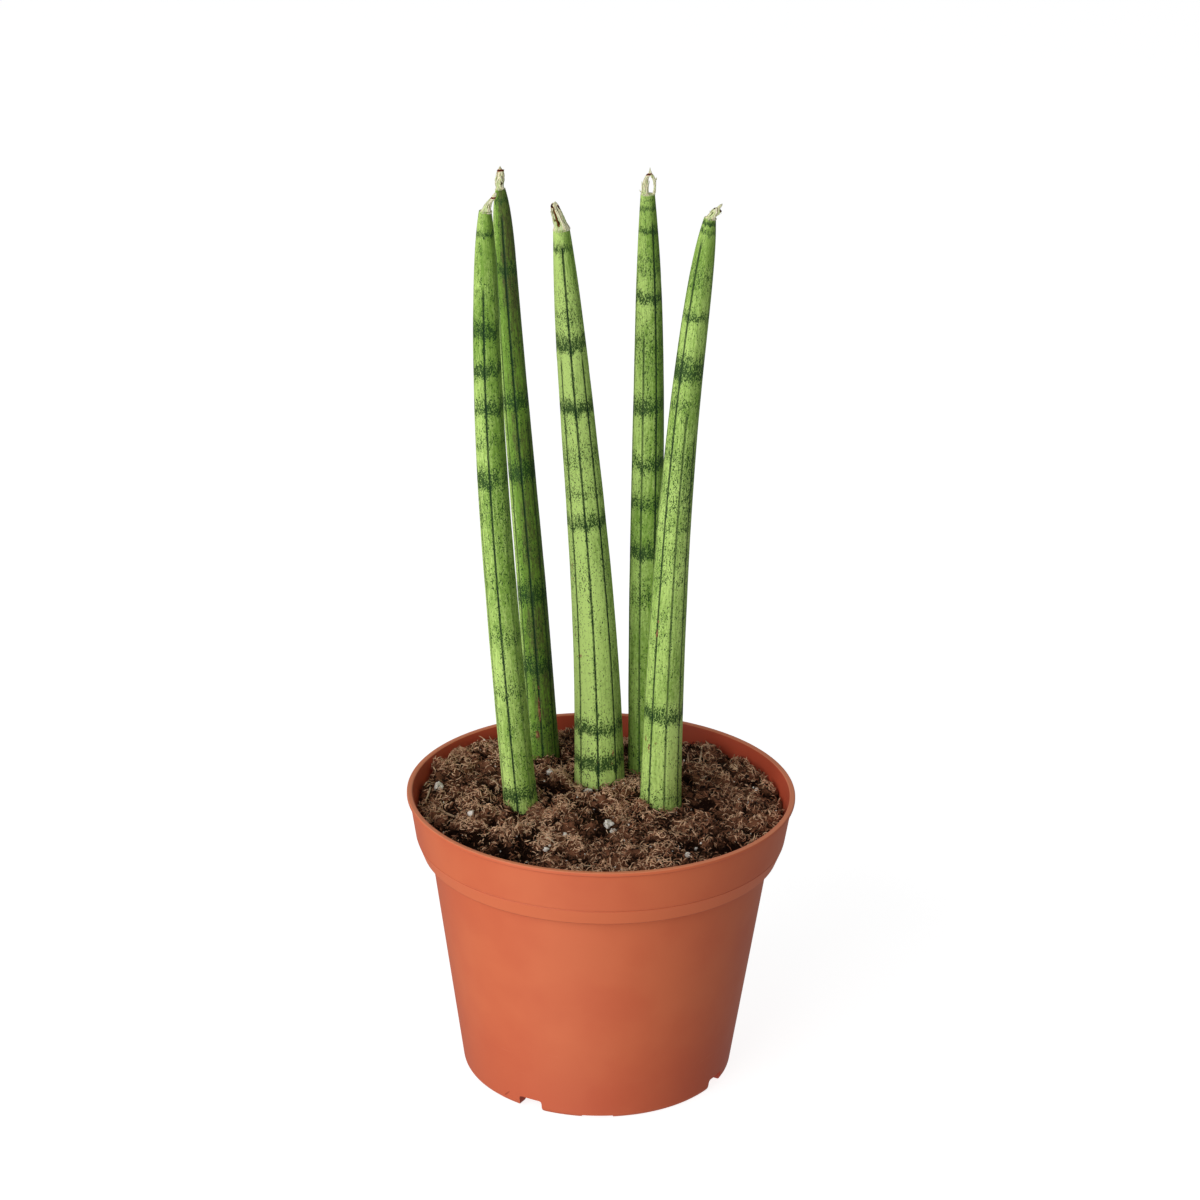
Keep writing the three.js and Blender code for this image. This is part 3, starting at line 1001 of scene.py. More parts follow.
def dress(piece: Object, slot: Slot, *nodes: str) -> Object:
    """Says what a piece rides on and which solids it stands for, and hides those solids.

    Args:
        piece: the piece.
        slot: the record's material slot; not used.
        nodes: the solids that it stands for, if any.

    Returns:
        The piece.
    """
    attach(piece, BODY)
    if nodes:
        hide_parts(*nodes)
    return piece


# ---- Leaves ----


@dataclass(frozen=True)
class Band:
    """A dark band round a leaf: height above the foot, strength and how far it fades, upwards."""

    height: float
    strength: float
    spread: float


@dataclass(frozen=True)
class Tone:
    """How light a leaf's rind is, with painted light and shade laid over its own lightness.

    Attributes:
        foot: the lightness at the foot of the side that faces the front.
        drop: how much darker it is at the crown.
        painted_light_slope: painted light: how much lighter its left side is.
        painted_light_flank: painted light: how much lighter still its far left is.
    """

    foot: float
    drop: float
    painted_light_slope: float
    painted_light_flank: float = 0.0

    def at(self, share: Array, bearing: Array) -> Array:
        """The lightness at some shares of the height by some bearings.

        Args:
            share: the shares of the height.
            bearing: the bearings, in radians.

        Returns:
            An array of heights by bearings.
        """
        left = -np.sin(bearing)
        # Painted light: the left side, towards the key light, is painted lighter.
        sideways = self.painted_light_slope * left + self.painted_light_flank * np.clip(left, 0, 1) ** 2
        return self.foot - self.drop * share[:, None] + sideways


@dataclass(frozen=True)
class Scar:
    """A corky spot: height above the foot, bearing, half width and half height."""

    height: float
    bearing: float
    width: float
    tall: float


@dataclass(frozen=True)
class Hood:
    """One dried, creased husk or strap of a tip. Sizes are in millimetres.

    Attributes:
        stations: height above the crown, middle to the right and to the back, and half width.
        depth: how deep they are, as a share of the half width.
        twist: how far they turn on the way up, in degrees.
        thickness: how deep it is from front to back, as a share of its width.
        hem: how far its lower edge hangs down over the leaf, at least and at most.
        slits: bearing, depth, and the shares of the height where each slit starts and ends.
        scorch: heights between which it is scorched.
    """

    stations: tuple[Four, ...]
    creases: int = 3
    depth: float = 0.12
    twist: float = 0.0
    thickness: float = 0.75
    hem: Pair = (0.0, 0.0)
    hem_bearing: float = 0.0
    slits: tuple[Four, ...] = ()
    scorch: Pair = (99.0, 99.0)

    def at(self, height: Array) -> Array:
        """The middle to the right and to the back, and the half width, one row for each height."""
        heights, *columns = np.array(self.stations).T
        return np.stack([np.interp(height, heights, column) for column in columns], 1)


@dataclass
class Leaf:
    """A leaf with its dried tip. Every size is in millimetres.

    Attributes:
        name: the name of the solid that the leaf stands for.
        foot: where its axis meets the peat.
        crown: where the green part ends.
        bow: how far the middle of its axis is pushed to the right.
        sway: how far it is pushed to the right a quarter of the way up, and to the left three quarters up.
        belly: what two thirds of the way up adds to the radius.
        crown_radius: the radius at the crown, before the rounding-in.
        rounding: how much of the radius the rounding-in takes, and how late it starts.
        first_groove: the bearing of the first groove.
        lines: for some grooves, the share of the height at which the line starts, and its strength.
    """

    name: str
    foot: Pair
    crown: Triple
    bow: float
    sway: float
    belly: float
    foot_radius: float
    crown_radius: float
    rounding: Pair
    grooves: int
    first_groove: float
    lines: dict[int, Pair]
    bands: tuple[Band, ...]
    scars: tuple[Scar, ...]
    hoods: tuple[Hood, ...]
    tone_and_painted_light: Tone
    seed: int

    FOOT_HEIGHT = 86.5
    BURIED = 31.5
    ROW = 1.1
    GROOVE_DEPTH = 0.3
    GROOVE_HALF_WIDTH = 0.5
    FLATNESS = 0.4
    # Where columns of vertices stand across a rib, closer together beside the grooves.
    COLUMNS = (0.0, 0.035, 0.08, 0.16, 0.27, 0.385, 0.5, 0.615, 0.73, 0.84, 0.92, 0.965)
    HUSK_COLUMNS = 84
    HUSK_ROWS = 46
    HEM_ROWS = 6
    SHREDS = 3
    SCORCH_EDGE = 0.22

    def __post_init__(self) -> None:
        """Works out the length and starts the leaf's own draws."""
        foot, crown = self.axis(np.array([0.0, 1.0]))
        self.length = float(np.linalg.norm(crown - foot))
        self.draws = np.random.default_rng(self.seed)
        self.noise = Noise(self.seed)

    def axis(self, share: Array) -> Array:
        """Points on the leaf's axis: 0 is its foot, 1 its crown, and less than 0 is buried.

        Args:
            share: the shares of the height.

        Returns:
            One point for each share.
        """
        foot = np.array([*self.foot, self.FOOT_HEIGHT])
        line = foot + (np.array(self.crown) - foot) * share[:, None]
        line[:, 0] += self.bow * 4 * share * (1 - share) + self.sway * np.sin(TURN * share)
        return line

    def radius(self, share: Array) -> Array:
        """The leaf's radius at some shares of its height.

        Args:
            share: the shares of the height.

        Returns:
            One radius for each share.
        """
        above = np.clip(share, 0, None)
        taper = self.foot_radius + (self.crown_radius - self.foot_radius) * above
        taper += self.belly * 6.75 * above**2 * (1 - above)
        return taper * (1 - self.rounding[0] * above ** self.rounding[1])

    def directions(self, share: Array) -> tuple[Array, Array]:
        """The sideways and backward directions, square to the axis.

        Args:
            share: shares of the leaf's height.

        Returns:
            Two arrays of directions, one row for each share.
        """
        along = unit(self.axis(share + 0.01) - self.axis(share - 0.01))
        side = unit(np.array([1.0, 0, 0]) - along * along[:, :1])
        return side, np.cross(along, side)

    def across(self, share: Array, bearing: Array, width: Array, depth: float = 1.0) -> Array:
        """Offsets from the axis, square to it.

        Args:
            share: the share of the height that each row is square to.
            bearing: the bearings, in radians.
            width: how far out, for each row and bearing.
            depth: what the offsets to the front and back are multiplied by.

        Returns:
            An array of rows by points by coordinates.
        """
        side, back = self.directions(share)
        right, front = np.sin(bearing) * width, np.cos(bearing) * width * depth
        return side[:, None] * right[..., None] - back[:, None] * front[..., None]

    def middles(self, hood: Hood, height: Array) -> Array:
        """The middle of a hood at some heights above the crown."""
        return self.crown + np.column_stack([hood.at(height)[:, :2], height])

    def rows(self) -> Array:
        """Shares of the height at which the green part has a ring, from its buried end up.

        Returns:
            The shares, upwards.
        """
        buried = -self.BURIED + np.array([0.0, 0.5, 1.6, 3.4])
        below = np.linspace(-24, -7, 4)
        above = np.arange(-5, self.length - 12, self.ROW)
        crown = np.linspace(self.length - 12, self.length, 34)
        return np.concatenate([buried, below, above, crown]) / self.length

    def line_strength(self, share: Array) -> Array:
        """How strong each groove is at each height.

        Args:
            share: shares of the leaf's height.

        Returns:
            An array of heights by grooves.
        """
        tops = self.draws.uniform(0.72, 0.93, self.grooves)
        strengths = np.full(self.grooves, 0.8)
        for groove, (top, strength) in self.lines.items():
            tops[groove % self.grooves] = top
            strengths[groove % self.grooves] = strength
        return strengths * smooth(tops[None] - share[:, None], 0.0, 0.02)

    def band_strength(self, height: Array, bearing: Array, dip: Array) -> Array:
        """How dark the bands are all over the leaf.

        Args:
            height: heights above the foot.
            bearing: the bearings, in radians.
            dip: for each bearing, 1 in a groove and 0 away from it.

        Returns:
            An array of heights by bearings.
        """
        total = np.zeros((len(height), len(bearing)))
        ring = circle(bearing)
        for i, band in enumerate(self.bands):
            wobble = 0.9 * self.noise.at(ring + 3.1 * i, 0.7) + 0.5 * self.noise.at(ring - 1.7 * i, 0.3)
            centre = band.height + min(1, band.spread / 2) * (wobble + 0.5 - 1.5 * dip)
            patchy = 1 + 0.3 * self.noise.at(ring + 5.3 * i, 0.9)
            away = height[:, None] - centre[None]
            fade = np.where(away > 0, band.spread * 1.6, band.spread * 0.85)
            total = np.maximum(total, band.strength * patchy * np.exp(-((away / fade) ** 2)))
        return total

    def scar_strength(self, height: Array, bearing: Array) -> Array:
        """How corky the rind is all over the leaf.

        Args:
            height: heights above the foot.
            bearing: the bearings, in radians.

        Returns:
            An array of heights by bearings.
        """
        total = np.zeros((len(height), len(bearing)))
        for scar in self.scars:
            turn = (bearing - math.radians(scar.bearing) + np.pi) % TURN - np.pi
            across = turn * self.foot_radius / scar.width
            along = (height - scar.height) / scar.tall
            total = np.maximum(total, np.exp(-(across[None] ** 2) - along[:, None] ** 2))
        return total

    def build_rind(self, material: Material) -> Object:
        """Makes the green part, with its ribs, grooves and painted values.

        Args:
            material: the rind's material.

        Returns:
            Its object.
        """
        share = self.rows()
        height = share * self.length
        phase = np.tile(self.COLUMNS, self.grooves)
        rib = np.repeat(np.arange(self.grooves), len(self.COLUMNS))
        bearing = math.radians(self.first_groove) + (rib + phase) / self.grooves * TURN
        nearest = np.where(phase < 0.5, rib, (rib + 1) % self.grooves)
        radius = self.radius(share)
        from_groove = np.minimum(phase, 1 - phase)[None] * TURN * radius[:, None] / self.grooves

        line = self.line_strength(share)[:, nearest]
        half_turn = np.pi / self.grooves
        facet = math.cos(half_turn) / np.cos((phase - 0.5) * 2 * half_turn)
        spot = np.repeat(circle(bearing)[None], len(share), 0)
        spot[..., 2] = height[:, None] / 14
        uneven = 0.009 * self.noise.layered(spot, 1.0, 2)
        flatness = self.FLATNESS * smooth(share, -0.02, 0.02) * smooth(share, 1.0, 0.9)
        facets = 1 - flatness[:, None] * (1 - facet[None])
        width = radius[:, None] * (facets + 0.4 * flatness[:, None] * (1 - math.cos(half_turn)) + uneven)
        width -= self.GROOVE_DEPTH * line * np.clip(1 - from_groove / self.GROOVE_HALF_WIDTH, 0, 1)
        width[:3] *= np.array([0.45, 0.75, 0.93])[:, None]
        shape = skin((self.axis(share)[:, None] + self.across(share, bearing, width)) * MM)

        dip = np.exp(-((np.minimum(phase, 1 - phase) / 0.16) ** 2))
        rib_tone = self.draws.uniform(-0.07, 0.07, self.grooves)[rib]
        # The painted lightness holds painted light from the left and painted shade as well as the rind's own
        # lightness.
        tone_and_painted_light = self.tone_and_painted_light.at(share, bearing) + rib_tone[None] - 0.1 * smooth(share[:, None], 0.85, 1.0)
        tone_and_painted_light = tone_and_painted_light + 0.26 * self.noise.layered(spot + 11, 1.3, 3)
        around = spot.copy()
        around[..., :2] *= self.foot_radius * MM
        around[..., 2] = height[:, None] * MM
        painted = {
            "rind": around.reshape(-1, 3),
            "groove": from_groove.ravel() * MM,
            "line": line.ravel(),
            "tone_and_painted_light": tone_and_painted_light.ravel(),
            "band": self.band_strength(height, bearing, dip).ravel(),
            "scar": self.scar_strength(height, bearing).ravel(),
        }
        for label, values in painted.items():
            shape.paints[label] = np.concatenate([values, values[:1], values[-1:]])
        leaf = shape.to_object(self.name + "_rind", material)
        return dress(leaf, Slot.LEAF, self.name)

    def build_tip(self, material: Material) -> Object:
        """Makes the dried tip: creased hoods and straps, with loose shreds on the first.

        Args:
            material: the husk's material.

        Returns:
            Its object.
        """
        shapes = [self.build_hood(hood, i) for i, hood in enumerate(self.hoods)]
        shapes += [self.build_shred(i) for i in range(self.SHREDS)]
        tip = merge(shapes).to_object(self.name + "_dried_tip", material)
        return dress(tip, Slot.LEAF, self.name)

    def build_hood(self, hood: Hood, number: int) -> Shape:
        """Makes one hood.

        Args:
            hood: the hood.
            number: which of the tip's hoods it is.

        Returns:
            The hood as a closed shell.
        """
        low, high = hood.stations[0][0], hood.stations[-1][0]
        share = np.linspace(0, 1, self.HUSK_ROWS) ** 0.95
        height = low + (high - low) * share
        hang_rows = self.HEM_ROWS if hood.hem[1] > 0 else 0
        height = np.concatenate([np.full(hang_rows, low), height])
        share = np.concatenate([np.zeros(hang_rows), share])
        bearing = np.arange(self.HUSK_COLUMNS) / self.HUSK_COLUMNS * TURN
        turned = bearing[None] + math.radians(hood.twist) * share[:, None]
        size = max(station[3] for station in hood.stations)
        ring = circle(turned)
        ring[..., 2] = height[:, None] / size
        ring += 17 * number
        open_up = smooth(share, 0.0, 0.15)[:, None]
        crumple = self.noise.at(ring * [1, 1, 0.45], 0.4) * 0.09 + self.noise.at(ring + 9, 0.17) * 0.05
        wander = 1.3 * self.noise.at(ring * [0.7, 0.7, 0.3] + 3, 0.5)
        crease = (1 - np.abs(np.sin(hood.creases / 2 * turned + wander))) ** 2
        crease *= (0.3 + 0.7 * smooth(self.noise.at(ring * 0.8 + 6, 0.5), -0.3, 0.4)) * open_up
        factor = 1 + crumple - hood.depth * crease
        # How deep in a crease each vertex is, which the husk paints dark, partly as painted shade.
        fold = 0.86 * crease
        for slit_bearing, depth, start, end in hood.slits:
            off = (turned - math.radians(slit_bearing) + np.pi) % TURN - np.pi
            off += 0.12 * self.noise.at(ring + 21, 0.3)
            long = smooth(share, start, start + 0.12) * smooth(share, end, end - 0.18)
            wedge = np.exp(-((off / 0.31) ** 2)) * long[:, None]
            factor = factor - depth * wedge
            fold = np.maximum(fold, 1.75 * depth * wedge)
        width = hood.at(height)[:, 2:] * np.clip(factor, 0.1, 1.4)
        across = self.across(np.ones(len(share)), bearing, width, hood.thickness)
        if hang_rows:
            # The lower rows hang down over the leaf as a ragged hem.
            least, most = hood.hem
            hang = least + (most - least) * (0.5 + 0.5 * np.cos(bearing - math.radians(hood.hem_bearing)))
            hang *= 0.75 + 0.6 * self.noise.at(ring[0] + 4, 0.3)
            down = (1 - np.arange(hang_rows) / hang_rows)[:, None] * hang[None]
            radius = self.radius(1 - down / self.length) + 0.1
            across[:hang_rows] = self.across(np.ones(hang_rows), bearing, radius)
            across[:hang_rows, :, 2] -= down
        shape = skin((self.middles(hood, height)[:, None] + across) * MM)
        burnt = smooth(height, hood.scorch[0] - self.SCORCH_EDGE, hood.scorch[0] + self.SCORCH_EDGE)
        burnt = burnt * smooth(height, hood.scorch[1] + self.SCORCH_EDGE, hood.scorch[1] - self.SCORCH_EDGE)
        burnt = burnt[:, None] * (1 + 0.25 * self.noise.at(ring + 13, 0.6))
        self.paint_husk(shape, ring, fold, burnt)
        return shape

    def paint_husk(self, shape: Shape, ring: Array, fold: Array, scorch: Array) -> None:
        """Paints the husk's own coordinates, folds and scorching on a shape.

        Args:
            shape: the shape, whose last two vertices close its ends.
            ring: a place for each vertex of its rings, in half widths.
            fold: how deep in a fold each vertex of its rings is.
            scorch: how scorched each vertex of its rings is.
        """
        ends = [ring[0].mean(0), ring[-1].mean(0)]
        shape.paints["husk"] = np.append(ring.reshape(-1, 3), ends, 0) * 0.0022
        for label, values in (("fold", fold), ("scorch", scorch)):
            shape.paints[label] = np.append(values.ravel(), [values[0].mean(), values[-1].mean()])

    def build_shred(self, number: int) -> Shape:
        """A loose, curling strip that lies along the first hood and stands off it at its end.

        Args:
            number: which shred it is.

        Returns:
            The strip as a thin closed shell.
        """
        rows, sides = 18, 10
        hood = self.hoods[0]
        draw = self.draws.uniform
        start = draw(0.0, 0.3)
        end = min(0.85, start + draw(0.3, 0.55))
        bearing, drift = draw(-np.pi, np.pi), draw(-0.7, 0.7)
        lift, half_width = draw(0.1, 0.5), draw(0.14, 0.34)
        height = np.linspace(start, end, rows) * hood.stations[-1][0]
        passed = np.linspace(0, 1, rows)
        side, back = self.directions(np.ones(rows))
        angle = (bearing + drift * passed)[:, None]
        out = side * np.sin(angle) - back * np.cos(angle) * hood.thickness
        tangent = side * np.cos(angle) + back * np.sin(angle)
        off = hood.at(height)[:, 2] * 1.02 + 0.06 + lift * passed**2.5
        centre = self.middles(hood, height) + out * off[:, None]
        half = half_width * np.sin(np.pi * np.clip(0.12 + 0.88 * (1 - passed), 0, 1)) ** 0.6 + 0.03
        half, out, tangent = half[:, None, None], out[:, None], tangent[:, None]
        turn = np.linspace(0, TURN, sides, endpoint=False)[:, None]
        curl = 0.45 * np.cos(turn) ** 2 * half * out
        strip = np.cos(turn) * half * tangent - curl - 0.06 * np.sin(turn) * out
        shape = skin((centre[:, None] + strip) * MM)
        ring = circle(angle) + 0.3 * circle(turn[:, 0])
        ring[..., 2] = height[:, None] + number
        self.paint_husk(shape, ring, np.full((rows, sides), 0.1), np.zeros((rows, sides)))
        return shape


LEAVES = (
    Leaf(
        name="leaf_left_front", foot=(-24.8, 1), crown=(-36.3, -7.5, 278.6), bow=-2.5, sway=0.28,
        belly=0.73, foot_radius=5.35, crown_radius=2.9, rounding=(0.37, 22), grooves=7, first_groove=-8.5,
        lines={0: (0.89, 1), -1: (0.55, 0.6), 1: (0.5, 0.4)},
        bands=(
            Band(185.9, 0.78, 1), Band(167.5, 0.38, 2.2), Band(156, 0.85, 2.9), Band(143.8, 0.85, 2.3),
            Band(131.4, 0.85, 2.4), Band(121, 0.5, 2.4), Band(109.4, 0.86, 3.2), Band(100, 0.42, 9),
            Band(88.4, 0.36, 4), Band(76.9, 0.34, 4), Band(69.9, 0.3, 1.6), Band(57, 0.46, 3),
            Band(39.6, 0.5, 2.6), Band(15.1, 0.3, 4), Band(4.6, 0.85, 2.6),
        ),
        scars=(),
        hoods=(
            Hood(
                (
                    (0, 0.09, 0, 1.61), (0.81, 0.46, 0, 1.24), (1.75, 0.78, 0.1, 1.08),
                    (2.69, 1.24, 0.2, 0.87), (3.36, 1.89, 0.3, 0.85), (3.94, 2.39, 0.4, 0.74),
                    (4.47, 2.62, 0.5, 0.63), (4.92, 2.81, 0.5, 0.51), (5.28, 2.94, 0.5, 0.28),
                    (5.41, 2.99, 0.5, 0.07),
                ),
                creases=7, depth=0.16, twist=35, thickness=0.8, hem=(0.03, 0.5), hem_bearing=60,
                slits=((20, 0.3, 0.1, 0.6),), scorch=(3.75, 4.1),
            ),
        ),
        tone_and_painted_light=Tone(0.58, 0.4, 0.34), seed=101,
    ),
    Leaf(
        name="leaf_left_back", foot=(-18.5, 39.5), crown=(-33.53, 47.55, 270.1), bow=-0.05, sway=0.3,
        belly=0.2, foot_radius=5.1, crown_radius=3.1, rounding=(0.52, 27), grooves=7, first_groove=0,
        lines={0: (0.967, 1), 1: (0.62, 0.7)},
        bands=(
            Band(180.6, 0.62, 1), Band(159.2, 0.72, 2.4), Band(147.6, 0.25, 4), Band(117.5, 0.9, 2.8),
            Band(94.2, 0.95, 3.4), Band(68.9, 0.3, 5), Band(53.8, 0.92, 3.6), Band(42, 0.35, 3),
            Band(30.1, 0.7, 4), Band(8.2, 0.5, 5),
        ),
        scars=(
            Scar(8.2, -15, 0.8, 1.4), Scar(24.2, 0, 0.35, 0.7), Scar(16.4, -3, 0.4, 4.5),
            Scar(1.1, 17, 0.4, 0.8),
        ),
        hoods=(
            Hood(
                (
                    (0, -0.04, -0.05, 1.42), (0.54, -0.16, -0.05, 1.21), (1.67, -0.27, -0.05, 1.38),
                    (3.02, -0.24, -0.05, 1.45), (4.33, -0.11, -0.05, 1.28), (5.17, -0.08, -0.05, 1.08),
                    (5.83, -0.08, -0.05, 0.98), (6.15, -0.11, -0.05, 0.58), (7.04, -0.16, -0.05, 0.08),
                ),
                creases=7, depth=0.14, twist=-70, thickness=0.85, hem=(0.02, 0.3), hem_bearing=-70,
                slits=((28, 0.6, 0.1, 0.44),), scorch=(5.55, 6),
            ),
            Hood(
                ((1.52, 0.13, -1.2, 0.1), (1.8, 0.18, -1.25, 0.29), (2.08, 0.13, -1.2, 0.1)),
                scorch=(0.9, 2.9),
            ),
        ),
        # Painted dark, partly its own darker green and partly painted shade, with a painted lit far left.
        tone_and_painted_light=Tone(-0.5, 0.02, 0.04, 1.3), seed=102,
    ),
    Leaf(
        name="leaf_centre", foot=(-0.5, 20), crown=(-14.55, 20, 265.6), bow=1.5, sway=0.44, belly=0,
        foot_radius=7.9, crown_radius=3.95, rounding=(0.37, 9), grooves=8, first_groove=-2,
        lines={0: (0.985, 1), -1: (0.79, 0.9), 1: (0.79, 1)},
        bands=(
            Band(173.6, 0.66, 1.3), Band(161.2, 0.34, 2.2), Band(152.5, 0.4, 4), Band(144, 1, 2.6),
            Band(124.1, 0.95, 2.2), Band(108, 0.46, 5), Band(96.8, 0.44, 2.8), Band(87.7, 0.92, 2.3),
            Band(73.4, 0.26, 3), Band(19.1, 0.8, 2.3), Band(7.8, 0.92, 2.4),
        ),
        scars=(
            Scar(73.7, -61, 0.5, 1.3), Scar(69.5, -61, 0.4, 1), Scar(51.6, -60, 0.4, 0.8),
            Scar(44.5, -42, 0.5, 0.6), Scar(45, -25, 0.4, 0.5), Scar(50.7, 47, 0.35, 0.5),
            Scar(12, 36, 0.4, 0.9), Scar(8.6, 32, 0.6, 0.6), Scar(9.8, -5, 0.5, 0.4),
        ),
        hoods=(
            Hood(
                (
                    (0, 0.05, 0, 2.46), (0.98, -0.07, 0, 2.2), (2.63, -0.63, 0.1, 1.96),
                    (4.26, -1.16, 0.2, 1.8), (5.9, -1.82, 0.3, 1.49), (7.22, -2.08, 0.3, 1.14),
                    (7.8, -1.99, 0.3, 0.66), (8.35, -1.94, 0.3, 0.11),
                ),
                creases=8, depth=0.15, twist=25, thickness=0.8, hem=(0.05, 0.35),
                slits=((-14, 0.78, 0.08, 0.92),),
            ),
            Hood(
                (
                    (5.88, -2.6, 0, 0.28), (6.89, -2.84, 0, 0.43), (7.62, -2.79, 0, 0.36),
                    (8.03, -2.65, 0, 0.09),
                ),
                scorch=(6.5, 7.8),
            ),
            Hood(
                (
                    (6.06, -0.57, -0.3, 0.13), (6.79, -0.9, -0.3, 0.25), (7.62, -1.37, -0.2, 0.23),
                    (8.08, -1.7, 0, 0.08),
                ),
                scorch=(6.2, 7.4),
            ),
        ),
        tone_and_painted_light=Tone(1, 0.2, 0.5), seed=103,
    ),
    Leaf(
        name="leaf_right_back", foot=(14, 29), crown=(11.06, 33.53, 273), bow=0.25, sway=-0.33, belly=-0.1,
        foot_radius=5.6, crown_radius=4.8, rounding=(0.55, 6), grooves=7, first_groove=30,
        lines={0: (0.966, 1), -1: (0.78, 0.8)},
        bands=(
            Band(185, 0.4, 0.5), Band(182.4, 0.85, 0.9), Band(175.5, 0.72, 1.1), Band(166.8, 0.58, 1),
            Band(163.2, 0.52, 1.6), Band(154.6, 0.9, 1.8), Band(139, 0.4, 7), Band(120.1, 0.92, 2.8),
            Band(102, 0.98, 2.5), Band(88.9, 0.62, 2.6), Band(72.7, 0.92, 2.6), Band(58.5, 0.44, 4),
        ),
        scars=(),
        hoods=(
            Hood(
                (
                    (-0.15, -0.91, -0.33, 1.06), (0.75, -0.91, -0.33, 1.08), (2.42, -0.94, -0.33, 0.95),
                    (4.06, -0.74, -0.23, 0.76), (5.02, -0.47, -0.13, 0.67), (6.04, 0.18, -0.03, 0.74),
                    (6.55, 0.61, -0.03, 0.57), (7.34, 0.57, -0.03, 0.21), (8.36, 0.52, -0.03, 0.04),
                ),
                creases=7, depth=0.18, twist=-20, thickness=0.6, scorch=(5.9, 6.4),
            ),
            Hood(
                (
                    (-0.15, 1.72, -0.23, 0.52), (0.75, 2, -0.23, 0.43), (2.42, 2.11, -0.23, 0.36),
                    (4.06, 1.98, -0.23, 0.46), (5.02, 1.6, -0.13, 0.57), (6.04, 0.99, -0.03, 0.57),
                    (6.5, 0.71, -0.03, 0.29), (6.64, 0.66, -0.03, 0.1),
                ),
                creases=5, depth=0.18, twist=20, thickness=0.6, scorch=(6.2, 6.9),
            ),
            Hood(
                (
                    (0, 0.04, -0.03, 2.1), (0.14, 0.14, -0.03, 1.75), (0.26, 0.2, -0.03, 1),
                    (0.33, 0.2, -0.03, 0.15),
                ),
                creases=7, depth=0.16, thickness=0.9, hem=(0.02, 0.12), hem_bearing=10,
            ),
            Hood(((4, 2.14, -0.03, 0.14), (4.65, 2.43, -0.03, 0.27), (5.2, 2.57, -0.03, 0.08))),
            Hood(((0.29, -1.87, -0.03, 0.11), (0.85, -2.25, -0.03, 0.14), (1.31, -2.59, -0.03, 0.05))),
        ),
        tone_and_painted_light=Tone(0.06, -0.34, 0.4), seed=104,
    ),
    Leaf(
        name="leaf_right_front", foot=(18.5, 3), crown=(28.79, -7.04, 277.44), bow=-2.95, sway=0.22,
        belly=0.08, foot_radius=6.5, crown_radius=3.5, rounding=(0.51, 18), grooves=8, first_groove=9,
        lines={0: (0.7, 0.75), -1: (0.974, 0.95), 1: (0.66, 0.8)},
        bands=(
            Band(190, 1, 0.7), Band(187.4, 0.72, 0.8), Band(173, 0.44, 4.5), Band(171.1, 0.46, 1),
            Band(161.4, 0.8, 1.5), Band(144.4, 0.85, 4.2), Band(133.7, 0.48, 4), Band(117.2, 0.6, 3),
            Band(106, 0.47, 15), Band(94.8, 0.52, 2), Band(84, 0.38, 8), Band(76.9, 0.5, 2.2),
            Band(64.9, 0.42, 2), Band(48, 0.32, 2.4), Band(31.7, 0.85, 2.6), Band(3.4, 0.5, 1.8),
        ),
        scars=(
            Scar(64.2, -33, 0.4, 0.6), Scar(60, -36, 0.35, 1.4), Scar(23.9, -60, 0.4, 1.2),
            Scar(21.6, -44, 0.4, 1.4), Scar(23.3, -22, 0.4, 0.5),
        ),
        hoods=(
            Hood(
                (
                    (0, 0.12, 0.04, 1.56), (0.4, 0.3, 0.04, 1.4), (1.14, 0.95, 0.04, 1.29),
                    (1.95, 1.75, 0.14, 1.52), (2.48, 1.89, 0.14, 1.2), (2.93, 2.03, 0.14, 0.83),
                    (3.15, 2.03, 0.14, 0.18),
                ),
                creases=7, depth=0.16, twist=40, thickness=0.75, hem=(0.02, 0.2),
                slits=((-25, 0.32, 0.2, 0.7),),
            ),
            Hood(
                (
                    (2.3, 1.93, 0.24, 0.46), (2.93, 2.3, 0.24, 0.55), (3.41, 2.72, 0.24, 0.55),
                    (3.91, 3.08, 0.24, 0.39), (4.27, 3.41, 0.24, 0.07),
                ),
                creases=5,
            ),
            Hood(
                (
                    (1.81, 2.85, -0.26, 0.2), (2.12, 2.95, -0.36, 0.39), (2.39, 2.95, -0.36, 0.35),
                    (2.66, 2.85, -0.26, 0.09),
                ),
                scorch=(1.26, 3.26),
            ),
            Hood(
                (
                    (2.53, 1.11, -0.26, 0.09), (2.8, 1.15, -0.26, 0.29), (2.97, 1.2, -0.26, 0.23),
                    (3.15, 1.29, -0.16, 0.05),
                ),
                scorch=(2.26, 4.26),
            ),
        ),
        tone_and_painted_light=Tone(0.74, 0.46, 0.1), seed=105,
    ),
)


# ---- Peat ----


@dataclass(frozen=True)
class Heap:
    """A round lump of peat: its middle, radius and rise."""

    x: float
    y: float
    radius: float
    rise: float


@dataclass(frozen=True)
class Lumps:
    """Scattered lumps: how many, their least and largest radius and rise, and their seed."""

    count: int
    radius: Pair
    rise: Pair
    seed: int


@dataclass(frozen=True)
class Grain:
    """A perlite grain: its middle, its radius and the depth of its hollow as a share of that."""

    x: float
    y: float
    radius: float
    hollow: float = 0.0


# The largest grains, each a piece of its own.
GRAINS = (
    Grain(2.1, -15.6, 1.5, 0.75), Grain(3.9, -19.4, 0.85, 0.2), Grain(-10.8, -21.4, 0.8),
    Grain(-16.3, -35, 0.85), Grain(-50.6, 11, 1.5, 0.45), Grain(26.4, -36.9, 1, 0.3), Grain(-4.3, 9.4, 1.15),
)

